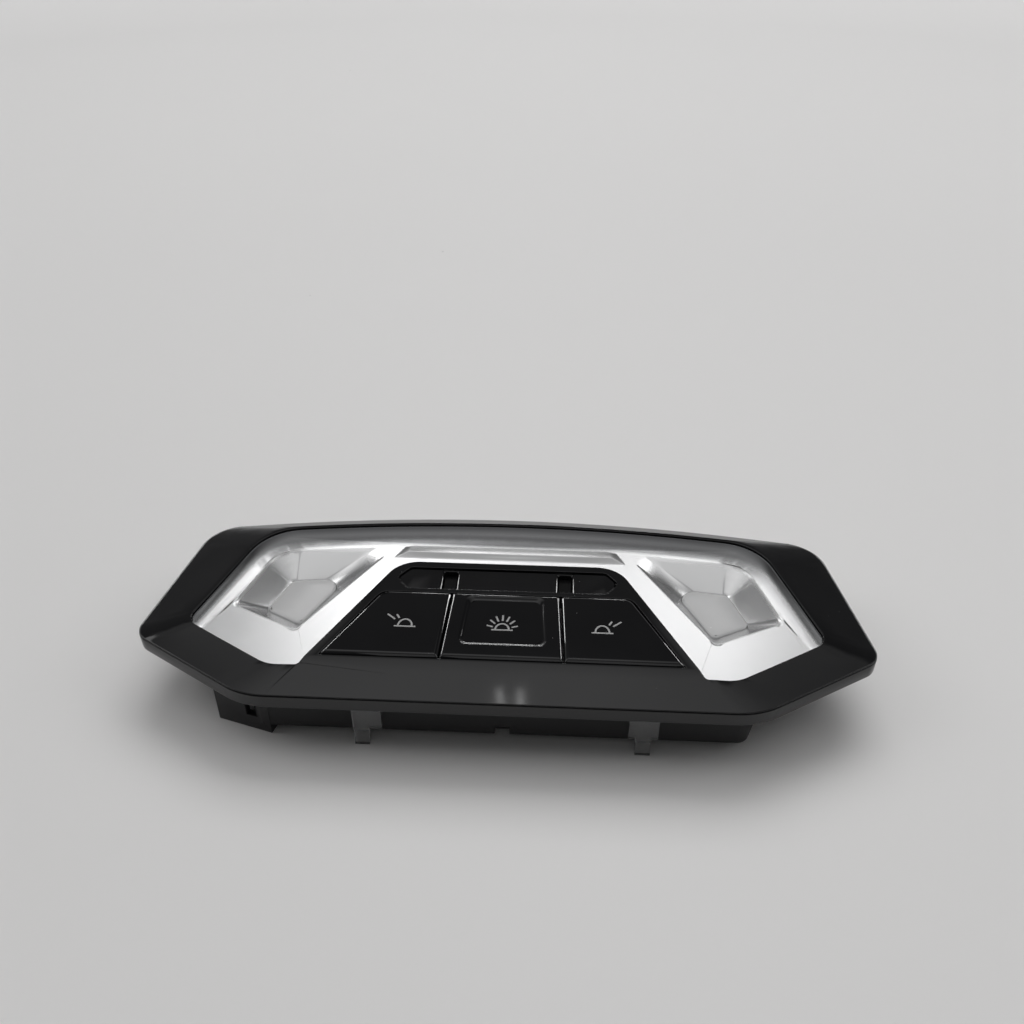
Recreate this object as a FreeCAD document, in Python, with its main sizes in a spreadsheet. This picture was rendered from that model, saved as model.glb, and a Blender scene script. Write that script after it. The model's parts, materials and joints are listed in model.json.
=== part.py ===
# Interior reading light: bezel with three keys, silver reflector trim, lenses, board and rear housing.
# Millimetres, face up: +Z out of the roof lining, X to the right, Y to the back, origin under the middle.
import FreeCAD, Part
import math
import os

import Sketcher

doc = FreeCAD.newDocument("reading_light")
sheet = doc.addObject("Spreadsheet::Sheet", "Sizes")

# Each row is a size that can be set by itself: name, value, what it measures.
SIZES = [
    # outer outline of the bezel
    ("tip_width", 165, "width between the sharp side tips"),
    ("body_depth", 62.9, "front edge to the middle of the back edge"),
    ("front_width", 108.4, "width of the straight front edge"),
    ("tip_setback", 17.1, "front edge to the side tips"),
    ("back_width", 150, "width between the sharp back corners"),
    ("back_slope", 0.148, "fall of the back edge to each side"),
    ("back_straight", 17, "straight length from a back corner to the bow"),
    ("front_corner_radius", 18, "front corners"),
    ("tip_radius", 5, "side tips"),
    ("back_corner_radius", 10, "back corners"),
    # heights of the bezel
    ("stand_height", 12, "standing plane to the underside of the rim"),
    ("rim_height", 4.5, "upright side of the rim"),
    ("crown_rise", 2, "rim edge to the flat of the panel"),
    ("skin", 1.8, "bezel thickness at the rim"),
    ("rim_wall", 2, "thickness of the upright rim"),
    ("undercut_height", 1.1, "slanting foot of the rim, upwards"),
    ("undercut_width", 1.1, "slanting foot of the rim, inwards"),
    ("groove_height", 0.3, "groove between rim and sloping band"),
    ("groove_depth", 0.35, "depth of that groove"),
    ("crown_margin", 0.7, "flat left round the opening"),
    # opening in the bezel that shows the trim
    ("side_band", 11.4, "bezel band at the side tips"),
    ("tip_lag", 3.1, "opening tip behind the outline tip"),
    ("front_band", 8, "bezel band in front of the trim"),
    ("foot_land", 6.6, "straight foot of the trim beside the panel"),
    ("back_side_band", 14.5, "bezel band at the back corners"),
    ("back_band", 4.7, "bezel band behind the trim"),
    ("opening_slope", 0.1245, "fall of the opening's back edge"),
    ("opening_straight", 13, "straight length from the opening's corner to its bow"),
    ("opening_front_radius", 9, "opening at the front corners"),
    ("opening_tip_radius", 3.5, "opening at the tips"),
    ("opening_back_radius", 13, "opening at the back corners"),
    # key panel
    ("panel_front_width", 87, "panel at its foot"),
    ("panel_back_width", 51.8, "panel at its back edge"),
    ("bridge_depth", 15.1, "panel's back edge to the opening's back edge"),
    ("panel_corner_radius", 8, "back corners of the panel"),
    ("panel_foot_radius", 1.2, "foot of the panel"),
    # keys
    ("key_front_margin", 2.8, "trim front line to the key row"),
    ("key_side_margin", 2.5, "panel side to the key row"),
    ("key_row_radius", 3.3, "outer back corners of the key row"),
    ("centre_front_width", 27, "middle key at its front"),
    ("centre_back_width", 25, "middle key at its back"),
    ("key_gap", 0.3, "gap round each key"),
    ("key_rise", 0.5, "keys above the panel"),
    ("key_bevel", 0.6, "bevel of the key tops"),
    ("key_skin", 1.6, "thickness of the key tops"),
    ("key_step", 1, "skirt inside the cap"),
    ("key_wall", 1.1, "thickness of the skirt"),
    ("key_skirt", 4.4, "length of the skirt below the cap"),
    ("key_travel", 0.7, "stroke of the keys"),
    ("key_clearance", 0.3, "room under and beside the moving keys"),
    ("dish_side", 3.6, "bevel at the sides of the middle key"),
    ("dish_front", 4.4, "bevel at the front of the middle key"),
    ("dish_back", 1.4, "bevel at the back of the middle key"),
    ("dish_depth", 0.5, "hollow of the middle key"),
    ("dish_fall", 0.7, "slope round the hollow"),
    ("dish_radius", 1.6, "corners of the hollow"),
    # bar with two slots
    ("bar_web", 1.3, "web between the key row and the bar"),
    ("bar_height", 7.5, "bar front to back"),
    ("bar_margin", 2.1, "bar to the panel's back edge"),
    ("bar_width", 52, "bar between its pointed ends"),
    ("bar_point", 2.8, "length of the pointed ends"),
    ("bar_radius", 1.6, "rounding of the bar's ends"),
    ("bar_drop", 0.4, "bar below the panel"),
    ("bar_fit", 0.12, "gap round the bar"),
    ("bar_flange", 2.2, "tabs past the ends of the bar"),
    ("flange_thickness", 1.2, "tabs under the panel"),
    ("flange_setback", 0.6, "tabs narrower than the bar"),
    ("slot_spacing", 27, "between the two slots"),
    ("slot_width", 3.2, "slot side to side"),
    ("slot_length", 6.2, "slot front to back"),
    ("slot_bevel", 0.5, "bevel round the slots"),
    ("guide_fit", 0.15, "gap round the light pipes"),
    ("guide_drop", 1.4, "pipe end below the bar"),
    ("guide_collar", 0.8, "collar round the pipes"),
    ("collar_height", 1, "height of the collar"),
    # silver trim
    ("trim_thickness", 2, "plate of the trim"),
    ("trim_flange", 1.5, "trim under the bezel"),
    ("trim_fit", 0.15, "gap round the trim"),
    ("cove_side", 3.8, "curved border along the sides"),
    ("cove_back", 5.8, "curved border along the back"),
    ("cove_rise", 1.4, "height of the border"),
    ("cove_edge", 0.4, "flat top of the border"),
    ("cove_bend", 0.52, "first bend of the border, share of its width"),
    ("cove_bend_rise", 0.14, "height of the first bend, share of the rise"),
    ("cove_turn", 0.82, "second bend of the border, share of its width"),
    ("cove_turn_rise", 0.47, "height of the second bend, share of the rise"),
    ("ridge_gap", 3.3, "white face between the panel and the ridge"),
    ("ridge_depth", 4.2, "ridge front to back"),
    ("ridge_rise", 1.2, "ridge above the face"),
    ("ridge_slope", 1.2, "slope at the front of the ridge"),
    ("ridge_back_slope", 0.8, "slope at the back of the ridge"),
    ("ridge_run", 2.2, "ridge ends past the panel corners"),
    ("pocket_tip_x", 8.2, "opening tip to the pocket, sideways"),
    ("pocket_tip_y", 7.5, "opening tip to the pocket, back"),
    ("pocket_back_x", 3.6, "opening back corner to the pocket, sideways"),
    ("pocket_back_y", 6.1, "opening back corner to the pocket, forward"),
    ("pocket_front_x", 3.4, "panel foot to the pocket, sideways"),
    ("pocket_front_y", 11.7, "panel foot to the pocket, back"),
    ("pocket_inner_x", 2.6, "panel back corner to the pocket, sideways"),
    ("pocket_inner_y", 7.2, "panel back corner to the pocket, back"),
    ("pocket_tip_radius", 2, "pocket at the tip"),
    ("pocket_front_radius", 1.2, "pocket at the front"),
    ("pocket_inner_radius", 2.5, "pocket beside the ridge"),
    ("pocket_back_radius", 8, "pocket at the back corner"),
    ("pocket_depth", 3.9, "face of the trim to the lens floor"),
    ("pocket_wall", 1.6, "thickness of the pocket walls"),
    ("tip_to_front", 0.33, "lens floor's tip, share of the way to the front corner"),
    ("tip_to_back", 0.255, "lens floor's tip, share of the way to the back corner"),
    ("front_to_tip", 0.187, "lens floor's front, share of the way to the tip"),
    ("front_to_inner", 0.141, "lens floor's front, share of the way to the inner corner"),
    ("inner_to_front", 0.24, "lens floor's inner corner, share of the way to the front"),
    ("inner_to_back", 0.218, "lens floor's inner corner, share of the way to the back"),
    ("back_to_tip", 0.377, "lens floor's back, share of the way to the tip"),
    ("back_to_inner", 0.243, "lens floor's back, share of the way to the inner corner"),
    ("floor_radius", 1.4, "small corners of the lens floor"),
    ("floor_inner_radius", 3, "inner corner of the lens floor"),
    # lenses
    ("lens_thickness", 1.8, "thickness of the lens"),
    ("lens_proud", 0.5, "lens above its floor"),
    ("lens_fit", 0.12, "gap round the lens"),
    ("lens_bevel", 0.3, "bevel of the lens"),
    ("lens_ledge", 1.4, "ledge under the lens"),
    ("ledge_thickness", 0.6, "thickness of that ledge"),
    # clear frame with the front legs
    ("frame_thickness", 1, "clear ring"),
    ("frame_fit", 0.1, "gap between ring and rim"),
    ("frame_width", 4.4, "width of the ring"),
    ("left_leg", 28.45, "middle of the left leg's wide part"),
    ("right_leg", 30.95, "middle of the right leg's wide part"),
    ("leg_width", 6.3, "wide part of a leg"),
    ("leg_drop", 6.9, "wide part below the rim"),
    ("left_prong", 1.45, "left prong outside the middle of its leg"),
    ("right_prong", 0.15, "right prong outside the middle of its leg"),
    ("prong_width", 3.3, "narrow end of a leg"),
    ("leg_thickness", 1.6, "legs front to back"),
    # rear housing
    ("housing_inset", 4.5, "outline to the housing wall"),
    ("housing_wall", 1.5, "housing wall"),
    ("tub_front_x", 1, "housing's front corner inside the bezel's, sideways"),
    ("tub_waist_x", 3.3, "housing's waist past the bezel's front corner, sideways"),
    ("tub_waist_y", 14, "front edge to the housing's waist"),
    ("tub_side_x", 7, "side tips to the housing's side corner, sideways"),
    ("tub_side_y", 6.4, "side tips to the housing's side corner, back"),
    ("tub_back_x", 5, "back corners to the housing's, sideways"),
    ("tub_radius", 3, "front and side corners of the housing"),
    ("housing_lift", 2.5, "housing floor above the standing plane"),
    ("floor_thickness", 1.5, "housing floor"),
    ("board_ledge", 1.8, "ledge that carries the board"),
    ("ledge_height", 0.6, "ledge above the floor"),
    ("tongue_centre", 39, "middle of the front tongues"),
    ("tongue_width", 6, "front tongues"),
    ("tongue_reach", 1.9, "front tongues past the wall"),
    ("tongue_thickness", 1, "front tongues"),
    ("ledge_fit", 0.1, "gap beside tongues and their ledges"),
    ("notch_width", 3.2, "notch in the front wall"),
    ("notch_height", 2.2, "notch in the front wall"),
    ("notch_offset", 0.6, "notch to the right of the middle"),
    ("bracket_inner_x", 3.7, "bracket end inside the front corner"),
    ("bracket_inner_y", 4.25, "bracket end behind the front edge"),
    ("bracket_outer_x", 9.1, "bracket end past the front corner"),
    ("bracket_outer_y", 8.05, "bracket end behind the front edge"),
    ("bracket_thickness", 1.6, "bracket plate"),
    ("bracket_rib", 4.2, "rib from the bracket to the wall"),
    ("bracket_top", 11.4, "height of the bracket"),
    ("window_width", 3.4, "window in the bracket"),
    ("window_height", 4, "window in the bracket"),
    ("window_sill", 4, "window above the standing plane"),
    ("window_shift", 2.6, "window from the middle towards the panel"),
    ("lug_centre", 46, "middle of the rear lugs"),
    ("lug_width", 9, "rear lugs"),
    ("lug_thickness", 2, "rear lugs"),
    ("lug_top", 9, "height of the rear lugs"),
    ("lug_inset", 6.6, "rear lugs inside the back edge"),
    ("lug_hook", 1.2, "nose of the rear lugs"),
    ("hook_height", 2.4, "height of that nose"),
    # posts and screws
    ("post_x", 10.5, "post inside the back corner, sideways"),
    ("post_y", 8.4, "post inside the back corner, forward"),
    ("post_diameter", 5, "screw posts of the bezel"),
    ("screw_diameter", 2.2, "screw shank"),
    ("screw_length", 8, "screw under its head"),
    ("screw_head", 4.6, "screw head"),
    ("head_height", 1.5, "screw head"),
    ("screw_fit", 0.1, "gap round the shank"),
    ("post_fit", 0.4, "gap between post and board"),
    # board and what it carries
    ("board_thickness", 1.6, "circuit board"),
    ("board_fit", 0.4, "gap between board and wall"),
    ("box_wall", 1.6, "walls of the light box"),
    ("switch_size", 6, "switch body, square"),
    ("switch_height", 3.2, "switch body"),
    ("switch_back", 2.5, "switch behind the middle of its key"),
    ("plunger_diameter", 3.4, "switch plunger"),
    ("plunger_rise", 1.2, "plunger above its body"),
    ("plunger_hold", 1.2, "plunger inside its body"),
    ("plunger_fit", 0.1, "gap round the plunger"),
    ("plunger_room", 1, "room under the plunger"),
    ("boss_diameter", 4.2, "boss under the key"),
    ("reading_led_size", 3.5, "reading light chip, square"),
    ("reading_led_height", 1, "reading light chip"),
    ("small_led_length", 2, "small light chips"),
    ("small_led_width", 1.3, "small light chips"),
    ("small_led_height", 0.8, "small light chips"),
    ("button_led_front", 6.5, "key light in front of its switch"),
    ("pipe_gap", 0.3, "light pipe above its chip"),
    ("chip_size", 7, "driver chip, square"),
    ("chip_height", 1.2, "driver chip"),
    ("chip_x", 20, "driver chip to the right of the middle"),
    ("chip_y", 10, "driver chip in front of the back wall"),
    # connector
    ("socket_width", 18, "connector body"),
    ("socket_height", 7, "connector body"),
    ("socket_length", 13, "connector body"),
    ("socket_wall", 1, "connector walls"),
    ("socket_depth", 9, "connector mouth"),
    ("socket_fit", 0.2, "gap round the connector"),
    ("pin_count", 6, "pins"),
    ("pin_pitch", 2.2, "between pins"),
    ("pin_size", 0.64, "pin, square"),
    ("pin_reach", 4, "pin inside the mouth"),
    ("pin_tail", 1, "pin behind the connector"),
]
for row, (alias, number, meaning) in enumerate(SIZES, start=1):
    sheet.set(f"A{row}", meaning)
    sheet.set(f"B{row}", str(number))
    sheet.setAlias(f"B{row}", alias)
doc.recompute()


class Measure:
    """A number worked out from the sheet, kept with the formula that gives it."""

    def __init__(self, value, formula):
        self.value = float(value)
        self.formula = formula

    def join(self, other, sign, value):
        return Measure(value, f"({self.formula} {sign} {other.formula})")

    def __add__(self, other):
        other = as_measure(other)
        return self.join(other, "+", self.value + other.value)

    def __sub__(self, other):
        other = as_measure(other)
        return self.join(other, "-", self.value - other.value)

    def __mul__(self, other):
        other = as_measure(other)
        return self.join(other, "*", self.value * other.value)

    def __truediv__(self, other):
        other = as_measure(other)
        return self.join(other, "/", self.value / other.value)

    def __rsub__(self, other):
        return as_measure(other) - self

    def __neg__(self):
        return Measure(-self.value, f"(0 - {self.formula})")

    __radd__ = __add__
    __rmul__ = __mul__


def as_measure(thing):
    return thing if isinstance(thing, Measure) else Measure(thing, repr(thing))


def root(measure):
    return Measure(math.sqrt(measure.value), f"sqrt({measure.formula})")


def size(alias):
    return Measure(sheet.get(alias), f"Sizes.{alias}")


def bind(thing, name, measure):
    thing.setExpression(name, as_measure(measure).formula)


# Outlines


def corner_arc(point, before, after, radius):
    """Where a rounded corner starts and ends, and its centre."""
    inward = (before - point).normalize()
    outward = (after - point).normalize()
    half = inward.getAngle(outward) / 2
    start = point + inward * (radius / math.tan(half))
    end = point + outward * (radius / math.tan(half))
    centre = point + (inward + outward).normalize() * (radius / math.sin(half))
    return start, end, centre


def draw_outline(sketch, corners):
    """Closes the corners (x, y, radius) with lines and tangent arcs, every corner tied to its formulas."""
    count = len(corners)
    points = [FreeCAD.Vector(x.value, y.value, 0) for x, y, _ in corners]
    starts, ends, arcs = list(points), list(points), [None] * count
    for i, (_, _, radius) in enumerate(corners):
        if radius is None:
            continue
        before, after = points[i - 1], points[(i + 1) % count]
        starts[i], ends[i], centre = corner_arc(points[i], before, after, radius.value)
        left_turn = (points[i] - before).cross(after - points[i]).z > 0
        first, last = (starts[i], ends[i]) if left_turn else (ends[i], starts[i])
        angles = [math.atan2(p.y - centre.y, p.x - centre.x) for p in (first, last)]
        circle = Part.Circle(centre, FreeCAD.Vector(0, 0, 1), radius.value)
        arcs[i] = (Part.ArcOfCircle(circle, *angles), left_turn)
    lines = [sketch.addGeometry(Part.LineSegment(ends[i], starts[(i + 1) % count])) for i in range(count)]
    for i, (x, y, radius) in enumerate(corners):
        came, goes = lines[i - 1], lines[i]
        if radius is None:
            sketch.addConstraint(Sketcher.Constraint("Coincident", came, 2, goes, 1))
            corner = goes
        else:
            arc, left_turn = arcs[i]
            bend = sketch.addGeometry(arc)
            near, far = (1, 2) if left_turn else (2, 1)
            corner = sketch.addGeometry(Part.Point(points[i]), True)
            sketch.addConstraint([
                Sketcher.Constraint("Tangent", came, 2, bend, near),
                Sketcher.Constraint("Tangent", bend, far, goes, 1),
                Sketcher.Constraint("PointOnObject", corner, 1, came),
                Sketcher.Constraint("PointOnObject", corner, 1, goes),
            ])
            index = sketch.addConstraint(Sketcher.Constraint("Radius", bend, radius.value))
            bind(sketch, f"Constraints[{index}]", radius)
        for kind, measure in (("DistanceX", x), ("DistanceY", y)):
            index = sketch.addConstraint(Sketcher.Constraint(kind, -1, 1, corner, 1, measure.value))
            bind(sketch, f"Constraints[{index}]", measure)
    return sketch


def draw_circle(sketch, radius, x, y):
    middle = FreeCAD.Vector(x.value, y.value, 0)
    ring = sketch.addGeometry(Part.Circle(middle, FreeCAD.Vector(0, 0, 1), radius.value))
    constraints = (
        (Sketcher.Constraint("Radius", ring, radius.value), radius),
        (Sketcher.Constraint("DistanceX", -1, 1, ring, 3, x.value), x),
        (Sketcher.Constraint("DistanceY", -1, 1, ring, 3, y.value), y),
    )
    for constraint, measure in constraints:
        index = sketch.addConstraint(constraint)
        bind(sketch, f"Constraints[{index}]", measure)


def rectangle(left, front, right, back, radius=None):
    return [(left, front, radius), (right, front, radius), (right, back, radius), (left, back, radius)]


def mirrored(half):
    """Corners of the right half, front to back, with the left half added."""
    return half + [(-x, y, radius) for x, y, radius in reversed(half) if x.value != 0]


# Free solids: outline sketches, their offsets, straight and sloping solids


def flat_outline(name, corners, height, grow=None):
    """Outline at a height, grown or shrunk by an offset."""
    sketch = doc.addObject("Sketcher::SketchObject", name)
    draw_outline(sketch, corners)
    bind(sketch, "Placement.Base.z", height)
    doc.recompute()
    if grow is None:
        return sketch
    offset = doc.addObject("Part::Offset2D", name + "_offset")
    offset.Source = sketch
    offset.Join = "Intersection"
    bind(offset, "Value", grow)
    doc.recompute()
    return offset


def straight(name, corners, bottom, top, grow=None):
    """Upright solid on an outline, between two heights."""
    solid = doc.addObject("Part::Extrusion", name)
    solid.Base = flat_outline(name + "_outline", corners, bottom, grow)
    solid.DirMode = "Custom"
    solid.Dir = FreeCAD.Vector(0, 0, 1)
    solid.Solid = True
    bind(solid, "LengthFwd", top - bottom)
    return solid


def sloping(name, low, high):
    """Solid with sloping sides between two outlines, each (corners, height, grow)."""
    solid = doc.addObject("Part::Loft", name)
    solid.Sections = [flat_outline(name + "_low", *low), flat_outline(name + "_high", *high)]
    solid.Solid = True
    solid.Ruled = True
    return solid


def upright_rod(name, x, y, bottom, top, diameter):
    rod = doc.addObject("Part::Cylinder", name)
    bind(rod, "Radius", diameter / 2)
    bind(rod, "Height", top - bottom)
    for axis, measure in (("x", x), ("y", y), ("z", bottom)):
        bind(rod, f"Placement.Base.{axis}", measure)
    return rod


def block(name, left, front, bottom, right, back, top):
    box = doc.addObject("Part::Box", name)
    for side, low, high in (("Length", left, right), ("Width", front, back), ("Height", bottom, top)):
        bind(box, side, high - low)
    for axis, measure in (("x", left), ("y", front), ("z", bottom)):
        bind(box, f"Placement.Base.{axis}", measure)
    return box


def fuse(name, pieces):
    joined = doc.addObject("Part::MultiFuse", name)
    joined.Shapes = pieces
    joined.Refine = True
    return joined


def cut(name, base, tools):
    left = doc.addObject("Part::Cut", name)
    left.Base = base
    left.Tool = tools[0] if len(tools) == 1 else fuse(name + "_tools", tools)
    left.Refine = True
    return left


def group(name, pieces):
    together = doc.addObject("Part::Compound", name)
    together.Links = pieces
    return together


# Bodies: sketches on their own planes, pads and pockets


def new_body(label):
    return doc.addObject("PartDesign::Body", label)


def body_sketch(body, name, height, role="XY_Plane"):
    plane = next(part for part in body.Origin.OriginFeatures if part.Role == role)
    sketch = body.newObject("Sketcher::SketchObject", name)
    sketch.AttachmentSupport = [(plane, "")]
    sketch.MapMode = "FlatFace"
    bind(sketch, "AttachmentOffset.Base.z", height)
    return sketch


def pad(body, name, corners, bottom, top):
    sketch = draw_outline(body_sketch(body, name + "_outline", bottom), corners)
    doc.recompute()
    feature = body.newObject("PartDesign::Pad", name)
    feature.Profile = sketch
    bind(feature, "Length", top - bottom)
    doc.recompute()
    return feature


def pocket(body, name, corners, top, bottom):
    """Cuts downwards from one height to a lower one."""
    sketch = draw_outline(body_sketch(body, name + "_outline", top), corners)
    doc.recompute()
    before = body.Shape.Volume
    feature = body.newObject("PartDesign::Pocket", name)
    feature.Profile = sketch
    bind(feature, "Length", top - bottom)
    doc.recompute()
    assert body.Shape.Volume < before, name
    return feature


def edge_names(shape, wanted):
    picked = []
    for number, edge in enumerate(shape.Edges, start=1):
        if wanted([vertex.Point for vertex in edge.Vertexes]):
            picked.append(f"Edge{number}")
    return picked


def bevel(body, name, width, wanted):
    base = body.Tip
    feature = body.newObject("PartDesign::Chamfer", name)
    feature.Base = (base, edge_names(base.Shape, wanted))
    bind(feature, "Size", width)
    doc.recompute()
    return feature


def at_height(height):
    return lambda points: all(abs(point.z - height.value) < 1e-4 for point in points)


# Places that several pieces share: heights from the standing plane up

rim_low = size("stand_height")
rim_high = rim_low + size("rim_height")
crown = rim_high + size("crown_rise")
seat = rim_high - size("skin")
face = seat + size("trim_thickness")
lens_floor = face - size("pocket_depth")
lens_low = lens_floor + size("lens_proud") - size("lens_thickness")
lens_high = lens_low + size("lens_thickness")
pocket_low = lens_low - size("ledge_thickness")
frame_low = seat - size("frame_thickness")
housing_low = size("housing_lift")
housing_floor = housing_low + size("floor_thickness")
board_low = housing_floor + size("ledge_height")
board_high = board_low + size("board_thickness")
key_high = crown + size("key_rise")
cap_low = seat + size("key_travel") + size("key_clearance")
skirt_low = cap_low - size("key_skirt")
switch_high = board_high + size("switch_height")
plunger_high = switch_high + size("plunger_rise")
zero = Measure(0, "0")

# Outer outline, front to back on the right

half_depth = size("body_depth") / 2
front = -half_depth
tip_y = front + size("tip_setback")
half_tip = size("tip_width") / 2
half_back = size("back_width") / 2


def bowed_back(half_width, top, slope, straight, corner_radius):
    """Corner and apex of a back edge whose bow just reaches top."""
    radius = (half_width - straight) / slope
    apex = top + radius * (root(slope * slope + 1) - 1)
    return [(half_width, apex - slope * half_width, corner_radius), (zero, apex, radius)]


def rim_back(half_width, top):
    return bowed_back(half_width, top, size("back_slope"), size("back_straight"), size("back_corner_radius"))


rim_outline = mirrored([
    (size("front_width") / 2, front, size("front_corner_radius")),
    (half_tip, tip_y, size("tip_radius")),
] + rim_back(half_back, half_depth))
back_y = rim_back(half_back, half_depth)[0][1]

# Opening round the trim, with the key panel reaching into it

foot_y = front + size("front_band")
panel_foot = size("panel_front_width") / 2
panel_half = size("panel_back_width") / 2
opening_top = half_depth - size("back_band")
panel_y = opening_top - size("bridge_depth")
open_tip_x = half_tip - size("side_band")
open_tip_y = tip_y + size("tip_lag")
open_back_x = half_back - size("back_side_band")


def opening_back(grow):
    """Back corner and apex of the opening, moved out by grow."""
    return bowed_back(
        open_back_x + grow, opening_top + grow,
        size("opening_slope"), size("opening_straight"), size("opening_back_radius"),
    )


open_back_y = opening_back(zero)[0][1]


opening = mirrored([
    (panel_half, panel_y, size("panel_corner_radius")),
    (panel_foot, foot_y, size("panel_foot_radius")),
    (panel_foot + size("foot_land"), foot_y, size("opening_front_radius")),
    (open_tip_x, open_tip_y, size("opening_tip_radius")),
] + opening_back(zero))


def land_corners(share):
    """Line across the trim's border, from its inner edge at 0 to its top at 1, open at the front."""
    side = size("cove_side") * (1 - share) + size("cove_edge")
    back = size("cove_back") * (1 - share) + size("cove_edge")
    return mirrored([
        (open_tip_x - side, front, None),
        (open_tip_x - side, open_tip_y, size("opening_tip_radius")),
    ] + bowed_back(
        open_back_x - side, opening_top - back,
        size("opening_slope"), size("opening_straight"), size("opening_back_radius"),
    ))


def panel_side(y):
    """Half width of the panel at a place between its foot and its back edge."""
    return panel_foot + (panel_half - panel_foot) * (y - foot_y) / (panel_y - foot_y)


key_front = foot_y + size("key_front_margin")
bar_back = panel_y - size("bar_margin")
bar_front = bar_back - size("bar_height")
key_back = bar_front - size("bar_web")
bar_y = (bar_front + bar_back) / 2
row_front = panel_side(key_front) - size("key_side_margin")
row_back = panel_side(key_back) - size("key_side_margin")
key_row = [
    (-row_front, key_front, None),
    (row_front, key_front, None),
    (row_back, key_back, size("key_row_radius")),
    (-row_back, key_back, size("key_row_radius")),
]
half_bar = size("bar_width") / 2
bar_shoulder = half_bar - size("bar_point")


def bar_corners(fit):
    right = [
        (bar_shoulder - fit, bar_front + fit, size("bar_radius")),
        (half_bar - fit, bar_y, size("bar_radius")),
        (bar_shoulder - fit, bar_back - fit, size("bar_radius")),
    ]
    return mirrored(right)


post_x = half_back - size("post_x")
post_y = back_y - size("post_y")
inside_rim = -size("rim_wall")

# Housing wall: narrower than the bezel in front of the side tips

half_front = size("front_width") / 2
tub_outline = mirrored([
    (half_front - size("tub_front_x"), front + size("housing_inset"), size("tub_radius")),
    (half_front + size("tub_waist_x"), front + size("tub_waist_y"), size("tub_radius")),
    (half_tip - size("tub_side_x"), tip_y + size("tub_side_y"), size("tub_radius")),
] + rim_back(half_back - size("tub_back_x"), half_depth - size("housing_inset")))


def make_bezel():
    """Rim and sloping band in one, hollow below, open for trim, keys and bar."""
    crown_corners = mirrored([
        (panel_foot + size("crown_margin"), key_front - size("crown_margin"), size("opening_front_radius")),
        (open_tip_x + size("crown_margin"), open_tip_y, size("opening_tip_radius")),
    ] + opening_back(size("crown_margin")))
    foot_high = rim_low + size("undercut_height")
    foot = sloping("bezel_foot", (rim_outline, rim_low, -size("undercut_width")), (rim_outline, foot_high))
    rim = straight("bezel_rim", rim_outline, foot_high, rim_high)
    groove_low = rim_high - size("groove_height")
    groove = cut("bezel_groove", straight("bezel_groove_out", rim_outline, groove_low, rim_high), [
        straight("bezel_groove_in", rim_outline, groove_low, rim_high, -size("groove_depth")),
    ])
    band = sloping("bezel_band", (rim_outline, rim_high), (crown_corners, crown))
    shell = cut("bezel_shell", fuse("bezel_block", [foot, rim, band]), [
        groove,
        straight("bezel_hollow", rim_outline, rim_low, seat, inside_rim),
        straight("bezel_trim_seat", opening, seat, face, size("trim_flange") + size("trim_fit")),
        straight("bezel_opening", opening, seat, crown),
        straight("bezel_key_opening", key_row, seat, crown),
        straight("bezel_bar_opening", bar_corners(zero), seat, crown),
    ])
    posts = [
        upright_rod(f"bezel_post_{side}", post_x * sign, post_y, housing_floor, seat, size("post_diameter"))
        for side, sign in (("left", -1), ("right", 1))
    ]
    reach = size("housing_inset") - size("ledge_fit")
    ledges = []
    for side, sign in (("left", -1), ("right", 1)):
        middle = size("tongue_centre") * sign
        half = size("tongue_width") / 2
        ledges.append(block(
            f"bezel_ledge_{side}", middle - half, front + size("rim_wall"), rim_low,
            middle + half, front + reach, frame_low - size("tongue_thickness"),
        ))
    bores = [
        upright_rod(
            f"bezel_bore_{side}", post_x * sign, post_y, housing_floor,
            housing_low + size("screw_length") + size("screw_fit"),
            size("screw_diameter") + size("screw_fit"),
        )
        for side, sign in (("left", -1), ("right", 1))
    ]
    solid = fuse("bezel_ribbed", [shell] + posts + ledges)
    return cut("bezel_whole", solid, bores)


def between(corner, first, first_share, second, second_share):
    """Point inside a corner, by its shares of the way to two other corners."""
    x = corner[0] + (first[0] - corner[0]) * first_share + (second[0] - corner[0]) * second_share
    y = corner[1] + (first[1] - corner[1]) * first_share + (second[1] - corner[1]) * second_share
    return x, y


def pocket_corners(sign, low):
    """Edge of a reflector pocket, or the lens floor at its foot."""
    tip = (open_tip_x - size("pocket_tip_x"), open_tip_y + size("pocket_tip_y"))
    back = (open_back_x - size("pocket_back_x"), open_back_y - size("pocket_back_y"))
    foot = (panel_foot + size("pocket_front_x"), foot_y + size("pocket_front_y"))
    inner = (panel_half + size("pocket_inner_x"), panel_y + size("pocket_inner_y"))
    radii = [size(f"pocket_{place}_radius") for place in ("tip", "front", "inner", "back")]
    if low:
        tip, foot, inner, back = (
            between(tip, foot, size("tip_to_front"), back, size("tip_to_back")),
            between(foot, tip, size("front_to_tip"), inner, size("front_to_inner")),
            between(inner, foot, size("inner_to_front"), back, size("inner_to_back")),
            between(back, tip, size("back_to_tip"), inner, size("back_to_inner")),
        )
        radii = [size("floor_radius"), size("floor_radius"), size("floor_inner_radius"), size("floor_radius")]
    return [(x * sign, y, radius) for (x, y), radius in zip((tip, foot, inner, back), radii)]


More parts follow.
